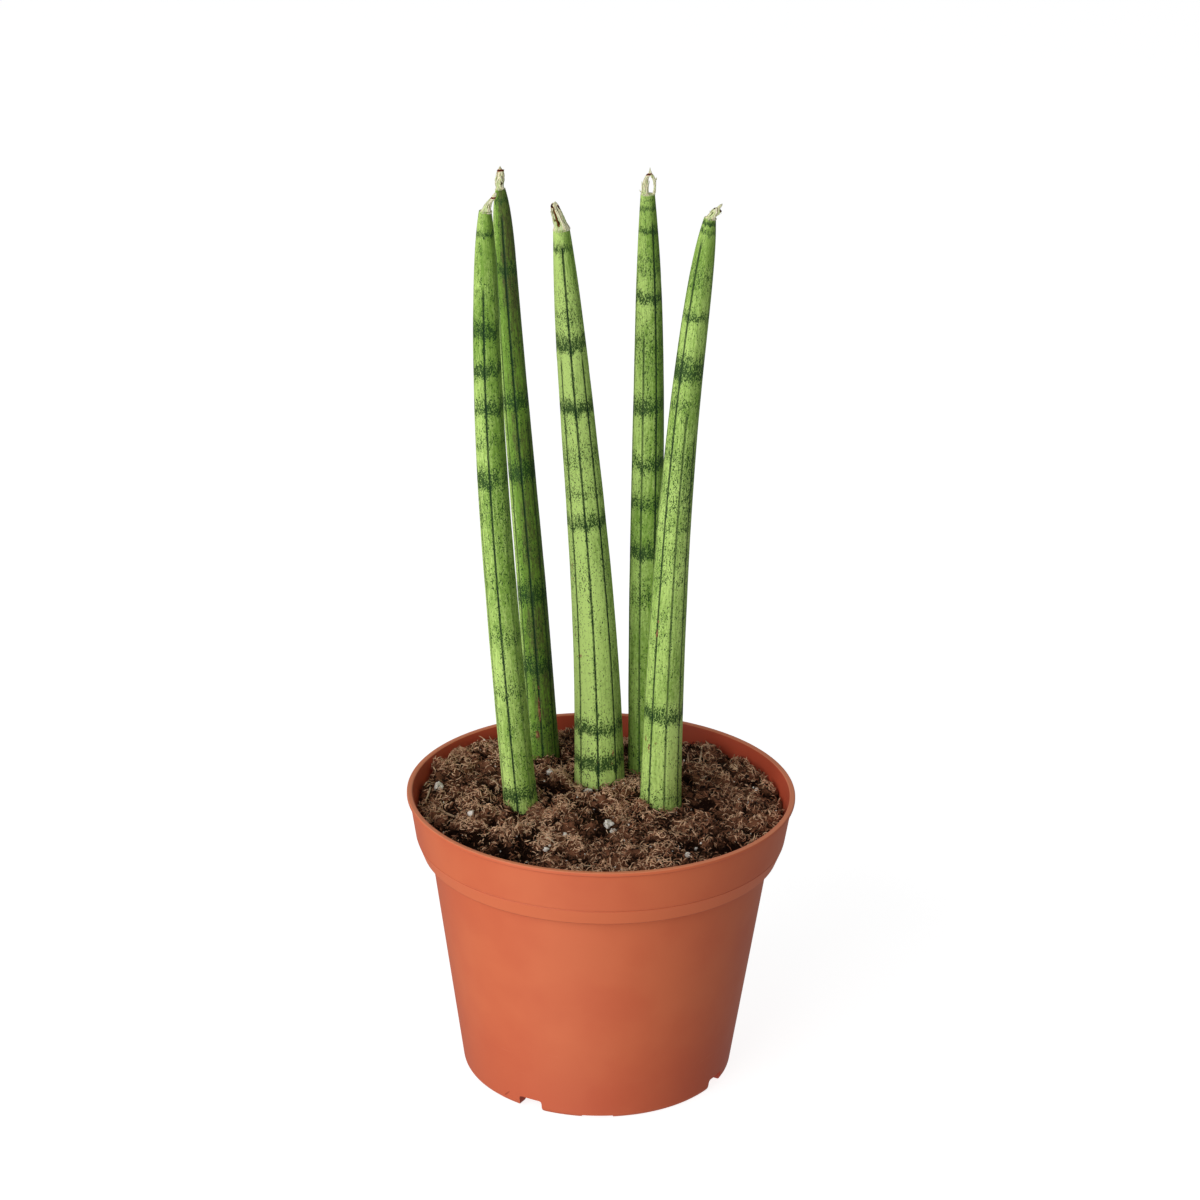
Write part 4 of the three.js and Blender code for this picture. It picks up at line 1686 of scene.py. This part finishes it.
# Middle-sized grains, which join the specks.
PEBBLES = (
    Grain(7.5, -24.8, 0.45), Grain(4.1, 8.1, 0.6), Grain(-16.2, 23.2, 0.9), Grain(35.6, 9.3, 0.6),
    Grain(48.8, 15.1, 0.7), Grain(52.8, -14.3, 0.7), Grain(29, -25.2, 0.7), Grain(23.8, -30.3, 0.5),
    Grain(-39.8, -10.6, 0.9),
)


@dataclass
class Peat:
    """The peat: a low mound of clods, fine lumps and crumbs. Every size is in millimetres."""

    pot: Pot
    leaves: tuple[Leaf, ...]
    finish: PeatFinish = PeatFinish()
    wall_height: float = 84.6
    mound: float = 2.4
    clearance: float = 0.3
    cell: float = 0.25
    mesh_steps: int = 210
    half: float = 60.0
    clods: Lumps = Lumps(70, (3.5, 8.5), (0.8, 2.4), 11)
    small: Lumps = Lumps(520, (1.6, 4.4), (0.5, 2.0), 42)
    tiny: Lumps = Lumps(3200, (0.5, 1.5), (0.2, 0.9), 43)
    small_reach: float = 58.0
    grit_seed: int = 41
    dimple: float = 1.6
    heaps: tuple[Heap, ...] = (
        Heap(-50, 24, 9, 4.4), Heap(-42, 37, 10, 4.6), Heap(-31, 43, 9, 3.8), Heap(-53, 10, 6, 2.4),
        Heap(-9, 51, 12, 3.2), Heap(33, 40, 12, 2.8), Heap(45, 27, 11, 2.8), Heap(52, 14, 7, 1.8),
    )
    # Hollows, whose rises count downwards.
    dips: tuple[Heap, ...] = (
        Heap(-25, -6, 6, 1), Heap(18.7, -5.5, 6.5, 1.1), Heap(-27, -37, 10, 0.8), Heap(-38, -25, 6, 0.8),
        Heap(10, -12, 5, 0.7), Heap(-8, -14, 4, 0.6), Heap(33, -2, 6, 1.2), Heap(24, 18, 6, 1.4),
        Heap(-12, 8, 5, 1.2), Heap(-4, -42, 5, 1), Heap(38, -28, 5, 1), Heap(-32, 0, 4.5, 1.5),
        Heap(10.5, 1.5, 4, 1.3),
    )

    def __post_init__(self) -> None:
        """Lays out the relief on a square grid."""
        steps = int(2 * self.half / self.cell) + 1
        line = np.linspace(-self.half, self.half, steps)
        self.grid_x, self.grid_y = np.meshgrid(line, line, indexing="ij")
        outward = np.clip(np.hypot(self.grid_x, self.grid_y) / self.pot.crease[0], 0, 1)
        self.base = self.wall_height + self.mound * (1 - outward**2)
        # The clods are the solid's own, from the same draws.
        reach = self.pot.collar_radius + 0.15 - self.pot.wall
        clods = self.scatter(self.clods, reach, seeded_draws(self.clods.seed))
        self.base += self.lumps([*self.heaps, *clods])
        spot = np.stack([self.grid_x, self.grid_y, 0 * self.grid_x], -1)
        self.fine = 1.0 * Noise(self.grit_seed).layered(spot, 3.2, 4)
        for kind in (self.small, self.tiny):
            self.fine += self.lumps(self.scatter(kind, self.small_reach, even_draws(kind.seed)))
        self.fine -= self.fine[outward < 1].mean() + 0.1
        for x, y, radius in [(*leaf.foot, leaf.foot_radius) for leaf in self.leaves]:
            away = np.hypot(self.grid_x - x, self.grid_y - y) - radius
            self.fine *= 0.3 + 0.7 * smooth(away, 0.5, 5.0)
        self.fine -= self.lumps(self.dips)
        for grain in GRAINS + PEBBLES:
            away = np.hypot(self.grid_x - grain.x, self.grid_y - grain.y) - grain.radius
            self.fine = np.where(away < self.dimple, np.minimum(self.fine, 0.25 * self.fine), self.fine)
        self.heights = self.base + self.fine

    def scatter(self, kind: Lumps, reach: float, draw: Iterator[float]) -> list[Heap]:
        """Scatters lumps over the peat.

        Args:
            kind: which lumps.
            reach: how far out their middles lie, at most.
            draw: the draws.

        Returns:
            The lumps.
        """
        heaps = []
        for _ in range(kind.count):
            distance = reach * math.sqrt(next(draw))
            bearing = TURN * next(draw)
            radius = kind.radius[0] + (kind.radius[1] - kind.radius[0]) * next(draw)
            rise = kind.rise[0] + (kind.rise[1] - kind.rise[0]) * next(draw)
            heaps.append(Heap(distance * math.cos(bearing), distance * math.sin(bearing), radius, rise))
        return heaps

    def lumps(self, heaps: Sequence[Heap]) -> Array:
        """The highest of some lumps at each place of the grid.

        Args:
            heaps: the lumps.

        Returns:
            A grid of heights, 0 where there is no lump.
        """
        total = np.zeros_like(self.grid_x)
        for heap in heaps:
            low_x, low_y = (int((c - heap.radius + self.half) / self.cell) for c in (heap.x, heap.y))
            size = int(2 * heap.radius / self.cell) + 2
            window = (slice(max(low_x, 0), low_x + size), slice(max(low_y, 0), low_y + size))
            away = np.hypot(self.grid_x[window] - heap.x, self.grid_y[window] - heap.y) / heap.radius
            rise = heap.rise * np.sqrt(np.clip(1 - away**2, 0, None))
            total[window] = np.maximum(total[window], rise)
        return total

    def sample(self, grid: Array, x: Array, y: Array) -> Array:
        """Reads a grid between its places.

        Args:
            grid: the values.
            x: where, to the right.
            y: where, to the back.

        Returns:
            One value for each place.
        """
        u = np.clip((x + self.half) / self.cell, 0, grid.shape[0] - 1.001)
        v = np.clip((y + self.half) / self.cell, 0, grid.shape[1] - 1.001)
        i, j = u.astype(int), v.astype(int)
        s, t = u - i, v - j
        near = grid[i, j] * (1 - t) + grid[i, j + 1] * t
        far = grid[i + 1, j] * (1 - t) + grid[i + 1, j + 1] * t
        return near * (1 - s) + far * s

    def height(self, x: Array, y: Array) -> Array:
        """The height of the peat at some places."""
        return self.sample(self.heights, x, y)

    def above(self, x: Array, y: Array, lift: Array | float) -> Array:
        """Points at some places, lifted off the peat."""
        return np.stack([x, y, self.height(x, y) + lift], -1)

    def normal(self, x: Array, y: Array) -> Array:
        """The direction square to the peat at some places.

        Args:
            x: where, to the right.
            y: where, to the back.

        Returns:
            One direction for each place.
        """
        step = 0.6
        dx = (self.height(x + step, y) - self.height(x - step, y)) / (2 * step)
        dy = (self.height(x, y + step) - self.height(x, y - step)) / (2 * step)
        return unit(np.stack([-dx, -dy, np.ones_like(dx)], -1))

    def build(self) -> Object:
        """Makes the body of peat, down to the pot's floor, with a hole for each leaf.

        Returns:
            The peat's object.
        """
        pot, steps = self.pot, self.mesh_steps
        line = np.linspace(-1, 1, steps + 1)
        u, v = np.meshgrid(line, line, indexing="ij")
        # The square's rings become the disc's circles.
        wide = np.maximum(np.abs(u), np.abs(v))
        across = np.abs(u) > np.abs(v)
        slant = np.where(across, v, u) / np.where(wide == 0, 1, wide) * np.pi / 4
        x = np.where(across, wide * np.sign(u) * np.cos(slant), wide * np.sin(slant))
        y = np.where(across, wide * np.sin(slant), wide * np.sign(v) * np.cos(slant))
        edge = pot.inner_radius(np.array(self.wall_height)) - self.clearance
        x, y = (x * edge).ravel(), (y * edge).ravel()
        z = self.height(x, y)
        relief = 0.5 + 0.42 * self.sample(self.fine, x, y)
        # Each large grain lies in a pocket.
        for grain in GRAINS:
            pocket = grain.radius + self.clearance
            away = np.hypot(x - grain.x, y - grain.y)
            floor = self.base_at(grain) - np.sqrt(np.clip(pocket**2 - away**2, 0, None))
            z = np.where(away < pocket, np.minimum(z, floor), z)
        points = np.stack([x, y, z], 1)
        for leaf in self.leaves:
            self.sink(points, relief, leaf)

        numbers = np.arange(len(points)).reshape(steps + 1, steps + 1)
        quads = np.stack([numbers[:-1, :-1], numbers[1:, :-1], numbers[1:, 1:], numbers[:-1, 1:]], -1)
        ring = np.concatenate([numbers[:-1, 0], numbers[-1, :-1], numbers[:0:-1, -1], numbers[0, :0:-1]])
        around = circle(np.arctan2(points[ring, 1], points[ring, 0]))
        gap, shelf = pot.wall + self.clearance, pot.ledge + pot.wall
        bottom = pot.floor_top + self.clearance
        faces = [quads.reshape(-1, 4)]
        for radius, level in (
            (pot.crease[0] - gap, pot.crease[1]),
            (pot.collar_radius - gap, shelf + 0.7),
            (pot.body_radius(shelf) - gap, shelf + 0.2),
            (pot.body_radius(pot.floor_top) - pot.wall - 1.3, bottom),
        ):
            lower = len(points) + np.arange(len(ring))
            points = np.concatenate([points, radius * around + [0, 0, level]])
            faces.append(np.stack([lower, np.roll(lower, -1), np.roll(ring, -1), ring], 1))
            ring = lower
        under = np.stack([np.roll(ring, -1), ring, np.full(len(ring), len(points))], 1)
        points = np.append(points, [[0, 0, bottom]], 0)
        relief = np.append(relief, np.full(len(points) - len(relief), 0.3))
        shape = Shape(points * MM, [np.concatenate(faces), under], {"relief": relief})
        return dress(shape.to_object("peat", self.finish.material()), Slot.PEAT, "soil")

    def base_at(self, grain: Grain) -> float:
        """The height of the solid's surface under a grain's middle."""
        return float(self.sample(self.base, np.array([grain.x]), np.array([grain.y]))[0])

    def sink(self, points: Array, relief: Array, leaf: Leaf) -> None:
        """Pushes the points inside a leaf's foot down its hole, which follows the leaf's lean.

        Args:
            points: the peat's points, which are changed.
            relief: their painted relief, which is changed too.
            leaf: the leaf.
        """
        axis = leaf.axis(np.array([-1.0, 0.0]) * leaf.BURIED / leaf.length)
        lean = (axis[1] - axis[0])[:2] / (axis[1] - axis[0])[2]
        centre = axis[1][:2] + lean * (points[:, 2:] - leaf.FOOT_HEIGHT)
        inside = np.hypot(*(points[:, :2] - centre).T) < leaf.foot_radius + 0.55
        bottom = leaf.FOOT_HEIGHT - leaf.BURIED - 0.6
        drop = points[inside, 2] - bottom
        points[inside, :2] -= lean * drop[:, None]
        points[inside, 2] = bottom
        relief[inside] = 0.0


@dataclass
class Perlite:
    """White perlite: the largest grains, each a piece, and small specks. Sizes are in millimetres."""

    peat: Peat
    finish: PerliteFinish = PerliteFinish()
    specks: int = 130
    speck_radius: Pair = (0.14, 0.36)
    speck_rise: float = 0.75
    speck_reach: float = 55.0
    speck_seed: int = 71
    leaf_margin: float = 9.0

    # Where a grain's hollow faces.
    HOLLOW = np.array([0.62, -0.42, 0.66])

    def ball(self, middle: Array, grain: Grain, levels: int, seed: int) -> Shape:
        """An angular, pitted ball.

        Args:
            middle: its middle.
            grain: the grain that it stands for.
            levels: how fine it is.
            seed: chooses its form.

        Returns:
            The ball.
        """
        directions, faces = icosphere(levels)
        noise = Noise(seed)
        form = 0.34 * noise.at(directions, 0.9) + 0.26 * noise.at(directions + 5, 0.45)
        form -= 0.22 * np.clip(noise.at(directions + 9, 0.25), 0, 1)
        form -= grain.hollow * smooth(directions @ self.HOLLOW, 0.55, 0.95)
        squash = np.random.default_rng(seed).uniform(0.75, 1.2, 3)
        reach = grain.radius * (0.97 + form)
        return Shape((middle + directions * squash * reach[:, None]) * MM, [faces])

    def build(self) -> list[Object]:
        """Makes the grains and the specks.

        Returns:
            Their objects.
        """
        material = self.finish.material()
        made = []
        for i, grain in enumerate(GRAINS):
            low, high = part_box(f"perlite_{i + 1}")
            middle = np.array((low + high) / 2) / MM
            shape = self.ball(middle, grain, 4, 200 + i)
            piece = shape.to_object(f"perlite_grain_{i + 1}", material)
            made.append(dress(piece, Slot.PERLITE, f"perlite_{i + 1}"))
        draws = np.random.default_rng(self.speck_seed)
        balls = []
        for i, grain in enumerate(PEBBLES):
            balls.append(self.resting_ball(grain, 0.55 * grain.radius, 3, 300 + i))
        for i in range(self.specks):
            distance, bearing = self.speck_reach * math.sqrt(draws.random()), draws.uniform(0, TURN)
            x, y = distance * math.cos(bearing), distance * math.sin(bearing)
            radius = draws.uniform(*self.speck_radius)
            feet = [leaf.foot for leaf in self.peat.leaves]
            if all(math.hypot(x - foot[0], y - foot[1]) > self.leaf_margin for foot in feet):
                balls.append(self.resting_ball(Grain(x, y, radius), self.speck_rise, 2, 400 + i))
        specks = merge(balls).to_object("perlite_specks", material)
        made.append(dress(specks, Slot.PERLITE))
        return made

    def resting_ball(self, grain: Grain, rise: float, levels: int, seed: int) -> Shape:
        """A small ball whose middle is a rise above the peat."""
        middle = self.peat.above(np.array([grain.x]), np.array([grain.y]), rise)[0]
        return self.ball(middle, grain, levels, seed)


def icosphere(levels: int) -> tuple[Array, Array]:
    """A ball of radius 1 made of even triangles.

    Args:
        levels: 1 has 20 triangles, and each more level four times as many.

    Returns:
        Its vertices and triangles.
    """
    mesh = bpy.data.meshes.new("ball")
    draft = bmesh.new()
    bmesh.ops.create_icosphere(draft, subdivisions=levels, radius=1)
    draft.to_mesh(mesh)
    draft.free()
    points = np.array([vertex.co for vertex in mesh.vertices])
    faces = np.array([polygon.vertices for polygon in mesh.polygons])
    bpy.data.meshes.remove(mesh)
    return points, faces


# ---- Loose scraps on the peat ----


@dataclass(frozen=True)
class FibreKind:
    """A kind of peat fibre. Sizes are in millimetres, and each pair is a smallest and a largest.

    Attributes:
        height: how high above the peat.
        lowest: how low in the peat's relief they still lie.
        tint: how light, from 0 to 1; the lower kinds are painted darker as painted shade.
        stations: how finely each is drawn.
    """

    name: str
    count: int
    length: Pair
    thickness: Pair
    height: Pair
    lowest: float
    tint: float
    stations: int
    seed: int


@dataclass(frozen=True)
class Tuft:
    """A bunch of fibres: its middle, radius, rise, number of fibres and tint. Sizes are in millimetres."""

    x: float
    y: float
    radius: float
    rise: float
    count: int
    tint: float


FIBRES = (
    FibreKind("peat_fibres_low", 5200, (1.2, 2.8), (0.32, 0.54), (-0.3, 0.3), -9, 0.2, 6, 51),
    FibreKind("peat_fibres_middle", 7400, (1, 2.8), (0.22, 0.42), (0, 0.7), -0.75, 0.48, 6, 52),
    FibreKind("peat_fibres_high", 7800, (0.9, 3), (0.17, 0.32), (0.2, 1.2), -0.4, 0.74, 6, 53),
)

TUFTS = (
    Tuft(-46, 34, 5, 1.6, 190, 0.84), Tuft(-50, 22.6, 4.2, 1.6, 150, 0.82),
    Tuft(-33, 38, 5.5, 1.6, 190, 0.64), Tuft(-16, -8, 5.5, 1.5, 190, 0.72), Tuft(8, -2.5, 6, 1.6, 200, 0.66),
    Tuft(-3, -34, 5, 1.2, 150, 0.66), Tuft(-19, -46.5, 3.8, 1.2, 110, 0.68),
    Tuft(30, -12, 5.5, 1.4, 170, 0.62), Tuft(47, 6, 5.5, 1.4, 170, 0.62), Tuft(-20.2, -5, 3, 2.3, 170, 0.62),
    Tuft(12.5, -2.4, 2.6, 1.2, 90, 0.6),
)


@dataclass
class Litter:
    """Fibres, crumbs and straws strewn on the peat. Every size is in millimetres."""

    peat: Peat
    reach: float = 56.3
    grain_margin: float = 0.9
    crumbs: int = 1300
    noise: Noise = field(default_factory=lambda: Noise(55))
    tuft_seed: int = 54
    straw_seed: int = 61
    crumb_seed: int = 62
    fibre_finish: ScrapFinish = ScrapFinish(
        "fibre", (0.024, 0.009, 0.004), (0.420, 0.185, 0.100), (1.00, 0.66, 0.42)
    )
    # Straws: where each starts and ends, how far its middle is pushed sideways, and its thickness.
    straws: tuple[tuple[float, float, float, float, float, float], ...] = (
        (-53.5, 0.3, -43.2, -10.3, 0.5, 0.75), (-55, 16.8, -55, 7.7, 0.4, 0.5),
        (-55.2, 0.9, -53.2, 9.6, -0.6, 0.55), (32.1, 41.9, 30.3, 29.3, 0.4, 0.6),
        (27.5, 37, 29, 27, -0.5, 0.45), (-46, -7.5, -38.5, -9, 0.6, 0.4), (33.5, 24, 31.2, 18.5, 0.2, 0.5),
        (-20, -28, -12.5, -30, 0.8, 0.4), (38, 2, 45.5, 4.5, 0.7, 0.45), (-8, -44, -1, -41.5, 0.6, 0.35),
        (14, -22, 20.5, -19, 0.6, 0.35), (-30, 12, -36, 17.5, 0.5, 0.4),
    )

    def places(self, count: int, draws: Draws, margin: float) -> Array:
        """Draws places on the peat that keep clear of the leaves and the perlite.

        Args:
            count: how many.
            draws: where the draws come from.
            margin: how far from each leaf they stay.

        Returns:
            Rows of x and y.
        """
        radius = self.reach * np.sqrt(draws.random(count * 2))
        bearing = draws.uniform(0, TURN, count * 2)
        places = radius[:, None] * circle(bearing)[:, :2]
        clear = np.ones(len(places), bool)
        for leaf in self.peat.leaves:
            clear &= np.hypot(*(places - leaf.foot).T) > leaf.foot_radius + margin
        for grain in GRAINS + PEBBLES:
            away = np.hypot(places[:, 0] - grain.x, places[:, 1] - grain.y)
            clear &= away > grain.radius + self.grain_margin
        return places[clear][:count]

    def tubes(self, path: Array, up: Array, radius: Array, sides: int) -> Shape:
        """Closed tubes that taper to a point at both ends.

        Args:
            path: an array of tubes by stations by coordinates.
            up: a direction for each tube that it doesn't run along.
            radius: the radius of each tube.
            sides: how many sides each has.

        Returns:
            All the tubes as one shape.
        """
        count, stations, _ = path.shape
        along = unit(np.gradient(path, axis=1), 1e-9)
        side = unit(np.cross(along, up[:, None]), 1e-9)
        lift = np.cross(side, along)
        turn = (np.arange(sides) / sides * TURN)[:, None]
        across = side[:, 1:-1, None] * np.cos(turn) + lift[:, 1:-1, None] * np.sin(turn)
        taper = np.sin(np.linspace(0, np.pi, stations))[1:-1] ** 0.5
        width = radius[:, None, None, None] * taper[:, None, None]
        rings = path[:, 1:-1, None] + width * across
        points = np.concatenate([path[:, :1], rings.reshape(count, -1, 3), path[:, -1:]], 1)
        size = points.shape[1]
        first = np.arange(sides)
        second = (first + 1) % sides
        level = 1 + np.arange(stations - 3)[:, None] * sides
        quads = np.stack([level + first, level + second, level + second + sides, level + first + sides], -1)
        last = 1 + (stations - 3) * sides
        ends = [(0 * first, 1 + second, 1 + first), (0 * first + size - 1, last + first, last + second)]
        start = np.arange(count)[:, None, None] * size
        faces = []
        for kind in (quads.reshape(-1, 4), np.transpose(ends, (2, 0, 1)).reshape(-1, 3)):
            faces.append((start + kind).reshape(-1, kind.shape[1]))
        return Shape(points.reshape(-1, 3) * MM, faces)

    def on_tuft(self, tuft: Tuft, draws: Draws) -> tuple[Array, Array]:
        """Draws places on a tuft.

        Args:
            tuft: the tuft.
            draws: where the draws come from.

        Returns:
            The places, and the direction square to the tuft at each.
        """
        out = np.sqrt(draws.random(tuft.count))
        bearing = draws.uniform(0, TURN, tuft.count)
        flat = tuft.radius * out[:, None] * circle(bearing)
        lift = tuft.rise * np.sqrt(1 - 0.96 * out**2) * draws.uniform(0.75, 1.1, tuft.count)
        points = self.peat.above(flat[:, 0] + tuft.x, flat[:, 1] + tuft.y, lift - 0.4)
        return points, unit(flat + [0, 0, 0.6 * tuft.radius])

    def keep_inside(self, path: Array) -> Array:
        """Pulls points in from the pot's wall, and out of the leaves.

        Args:
            path: the points, which may be changed.

        Returns:
            The points.
        """
        flat = path[..., :2]
        distance = np.hypot(flat[..., 0], flat[..., 1])
        limit = self.peat.pot.inner_radius(path[..., 2]) - 0.35
        flat *= np.minimum(1, limit / np.maximum(distance, 1e-6))[..., None]
        for leaf in self.peat.leaves:
            off = flat - leaf.foot
            away = np.hypot(off[..., 0], off[..., 1])
            least = leaf.foot_radius + 0.25
            flat += off * (np.maximum(least / np.maximum(away, 1e-6), 1) - 1)[..., None]
        return path

    def to_fibres(self, kind: FibreKind, middles: Array, up: Array, tint: Array, draws: Draws) -> Shape:
        """Curls fibres round some places. Those near each other run much the same way.

        Args:
            kind: which fibres.
            middles: where each fibre's middle is.
            up: the direction square to the surface that each lies on.
            tint: the tint of each.
            draws: where the draws come from.

        Returns:
            The fibres as one shape, with their tint.
        """
        count = len(middles)
        heading = 9.0 * self.noise.layered(middles * [1, 1, 0] + 40, 5.0, 2) + draws.normal(0, 0.95, count)
        flat = circle(heading)
        forward = unit(flat - up * np.sum(flat * up, 1, keepdims=True))
        side = np.cross(up, forward)
        length = draws.uniform(*kind.length, count)[:, None]
        share = np.linspace(-0.5, 0.5, kind.stations)
        bend = draws.normal(0, 1.1, count)[:, None]
        wave = draws.normal(0, 0.45, count)[:, None]
        phase = draws.uniform(0, TURN, count)[:, None]
        angle = bend * share + wave * np.sin(TURN * share + phase)
        step = length / (kind.stations - 1)
        ahead, aside = (np.cumsum(way * step, 1) for way in (np.cos(angle), np.sin(angle)))
        ahead -= ahead.mean(1, keepdims=True)
        aside -= aside.mean(1, keepdims=True)
        arch = draws.uniform(-0.3, 1.1, count)[:, None] * length * (0.25 - share**2)
        rise = ahead * np.tan(np.clip(draws.normal(0, 0.42, count), -1, 1))[:, None] + arch
        path = ahead[..., None] * forward[:, None] + aside[..., None] * side[:, None]
        path = self.keep_inside(path + rise[..., None] * up[:, None] + middles[:, None])
        shape = self.tubes(path, up, draws.uniform(*kind.thickness, count) / 2, 3)
        shape.paints["tint"] = np.repeat(tint, len(shape.points) // count)
        return shape

    def build_fibres(self, kind: FibreKind, material: Material) -> Object:
        """Strews one kind of fibre on the peat.

        Args:
            kind: which fibres.
            material: their material.

        Returns:
            Their object.
        """
        draws = np.random.default_rng(kind.seed)
        places = self.places(kind.count, draws, 0.4)
        standing = self.peat.sample(self.peat.fine, *places.T)
        kept = standing > kind.lowest
        places, standing = places[kept], standing[kept]
        x, y = places.T
        lift = draws.uniform(*kind.height, len(places))
        middles = self.peat.above(x, y, lift)
        flat = middles * [1, 1, 0]
        clumps = 0.44 * self.noise.layered(flat, 9.0, 2) + 0.26 * self.noise.layered(flat + 70, 3.0, 2)
        # Painted light and shade: fibres towards the left and back are painted lighter, and low, sunken
        # fibres darker.
        painted_left_light = 0.14 * smooth(x - 0.5 * y, 5, -45)
        tint = kind.tint + clumps + painted_left_light + 0.12 * standing + draws.normal(0, 0.38, len(places))
        shape = self.to_fibres(kind, middles, self.peat.normal(x, y), tint, draws)
        return dress(shape.to_object(kind.name, material), Slot.PEAT)

    def build_tufts(self, material: Material) -> Object:
        """Bunches fibres into tufts.

        Args:
            material: their material.

        Returns:
            Their object.
        """
        draws = np.random.default_rng(self.tuft_seed)
        kind = FIBRES[-1]
        shapes = []
        for tuft in TUFTS:
            middles, up = self.on_tuft(tuft, draws)
            tint = tuft.tint + draws.normal(0, 0.22, tuft.count)
            shapes.append(self.to_fibres(kind, middles, up, tint, draws))
        return dress(merge(shapes).to_object("peat_tufts", material), Slot.PEAT)

    def build_straws(self) -> Object:
        """Makes the pale straws.

        Returns:
            Their object.
        """
        draws = np.random.default_rng(self.straw_seed)
        share = np.linspace(0, 1, 16)
        # The stations at which a straw's height above the peat is set.
        held = [2, 8, 13]
        shapes = []
        for x0, y0, x1, y1, push, thickness in self.straws:
            start, end = np.array([x0, y0]), np.array([x1, y1])
            ahead = end - start
            aside = unit(np.array([-ahead[1], ahead[0]]))
            flat = start + ahead * share[:, None] + aside * (push * np.sin(np.pi * share))[:, None]
            height = np.interp(share, share[held], self.peat.height(*flat[held].T) + [0.7, 1.0, 0.7])
            path = np.concatenate([flat, height[:, None]], 1)[None]
            shape = self.tubes(self.keep_inside(path), np.array([[0, 0, 1.0]]), np.array([thickness / 2]), 7)
            shape.paints["tint"] = np.full(len(shape.points), draws.uniform(0.3, 1.0))
            shapes.append(shape)
        finish = ScrapFinish("straw", (0.30, 0.17, 0.09), (0.55, 0.37, 0.23), (0.85, 0.68, 0.48))
        return dress(merge(shapes).to_object("peat_straws", finish.material()), Slot.PEAT)

    def build_crumbs(self) -> Object:
        """Makes crumbs and flakes of bark and peat.

        Returns:
            Their object.
        """
        draws = np.random.default_rng(self.crumb_seed)
        directions, faces = icosphere(1)
        places = self.places(self.crumbs, draws, 1.0)
        count = len(places)
        size = draws.gamma(2.2, 0.13, count) + 0.15
        squash = np.stack([draws.uniform(0.6, 1.3, count) for _ in range(3)], 1) * [1, 1, 0.6]
        lumpy = directions[None] * (1 + draws.uniform(-0.3, 0.3, (count, len(directions), 1)))
        body = lumpy * (squash * size[:, None])[:, None]
        spin = draws.uniform(0, TURN, count)
        cos, sin = np.cos(spin)[:, None], np.sin(spin)[:, None]
        x, y, z = np.moveaxis(body, -1, 0)
        turned = np.stack([x * cos - y * sin, x * sin + y * cos, z], -1)
        points = self.keep_inside(turned + self.peat.above(*places.T, 0.1)[:, None])
        start = np.arange(count)[:, None, None] * len(directions)
        tint = np.repeat(draws.random(count) ** 2, len(directions))
        shape = Shape(points.reshape(-1, 3) * MM, [(start + faces).reshape(-1, 3)], {"tint": tint})
        finish = ScrapFinish("crumb", (0.015, 0.008, 0.006), (0.12, 0.06, 0.035), (0.62, 0.37, 0.22))
        return dress(shape.to_object("peat_crumbs", finish.material()), Slot.PEAT)


# ---- The whole plant ----


def corners() -> list[list[float]]:
    """The lowest and highest corner of what is shown."""
    return [[float(number) for number in corner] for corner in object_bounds()]


def main() -> None:
    """Builds the scene and reports each piece with its number of faces."""
    logging.basicConfig(level=logging.INFO, format="%(name)s: %(message)s")
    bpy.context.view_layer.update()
    studio = Studio()
    studio.build_camera()
    studio.build_lights()
    studio.build_floor()
    pot = Pot()
    pieces = [pot.build()]
    rind, husk = RindFinish().material(), HuskFinish().material()
    for leaf in LEAVES:
        pieces += [leaf.build_rind(rind), leaf.build_tip(husk)]
    peat = Peat(pot, LEAVES)
    pieces += [peat.build(), *Perlite(peat).build()]
    litter = Litter(peat)
    fibre = litter.fibre_finish.material()
    pieces += [litter.build_fibres(kind, fibre) for kind in FIBRES]
    pieces += [litter.build_tufts(fibre), litter.build_straws(), litter.build_crumbs()]
    for piece in pieces:
        log.info("%s: %d faces", piece.name, len(piece.data.polygons))


if __name__ == "__main__":
    main()
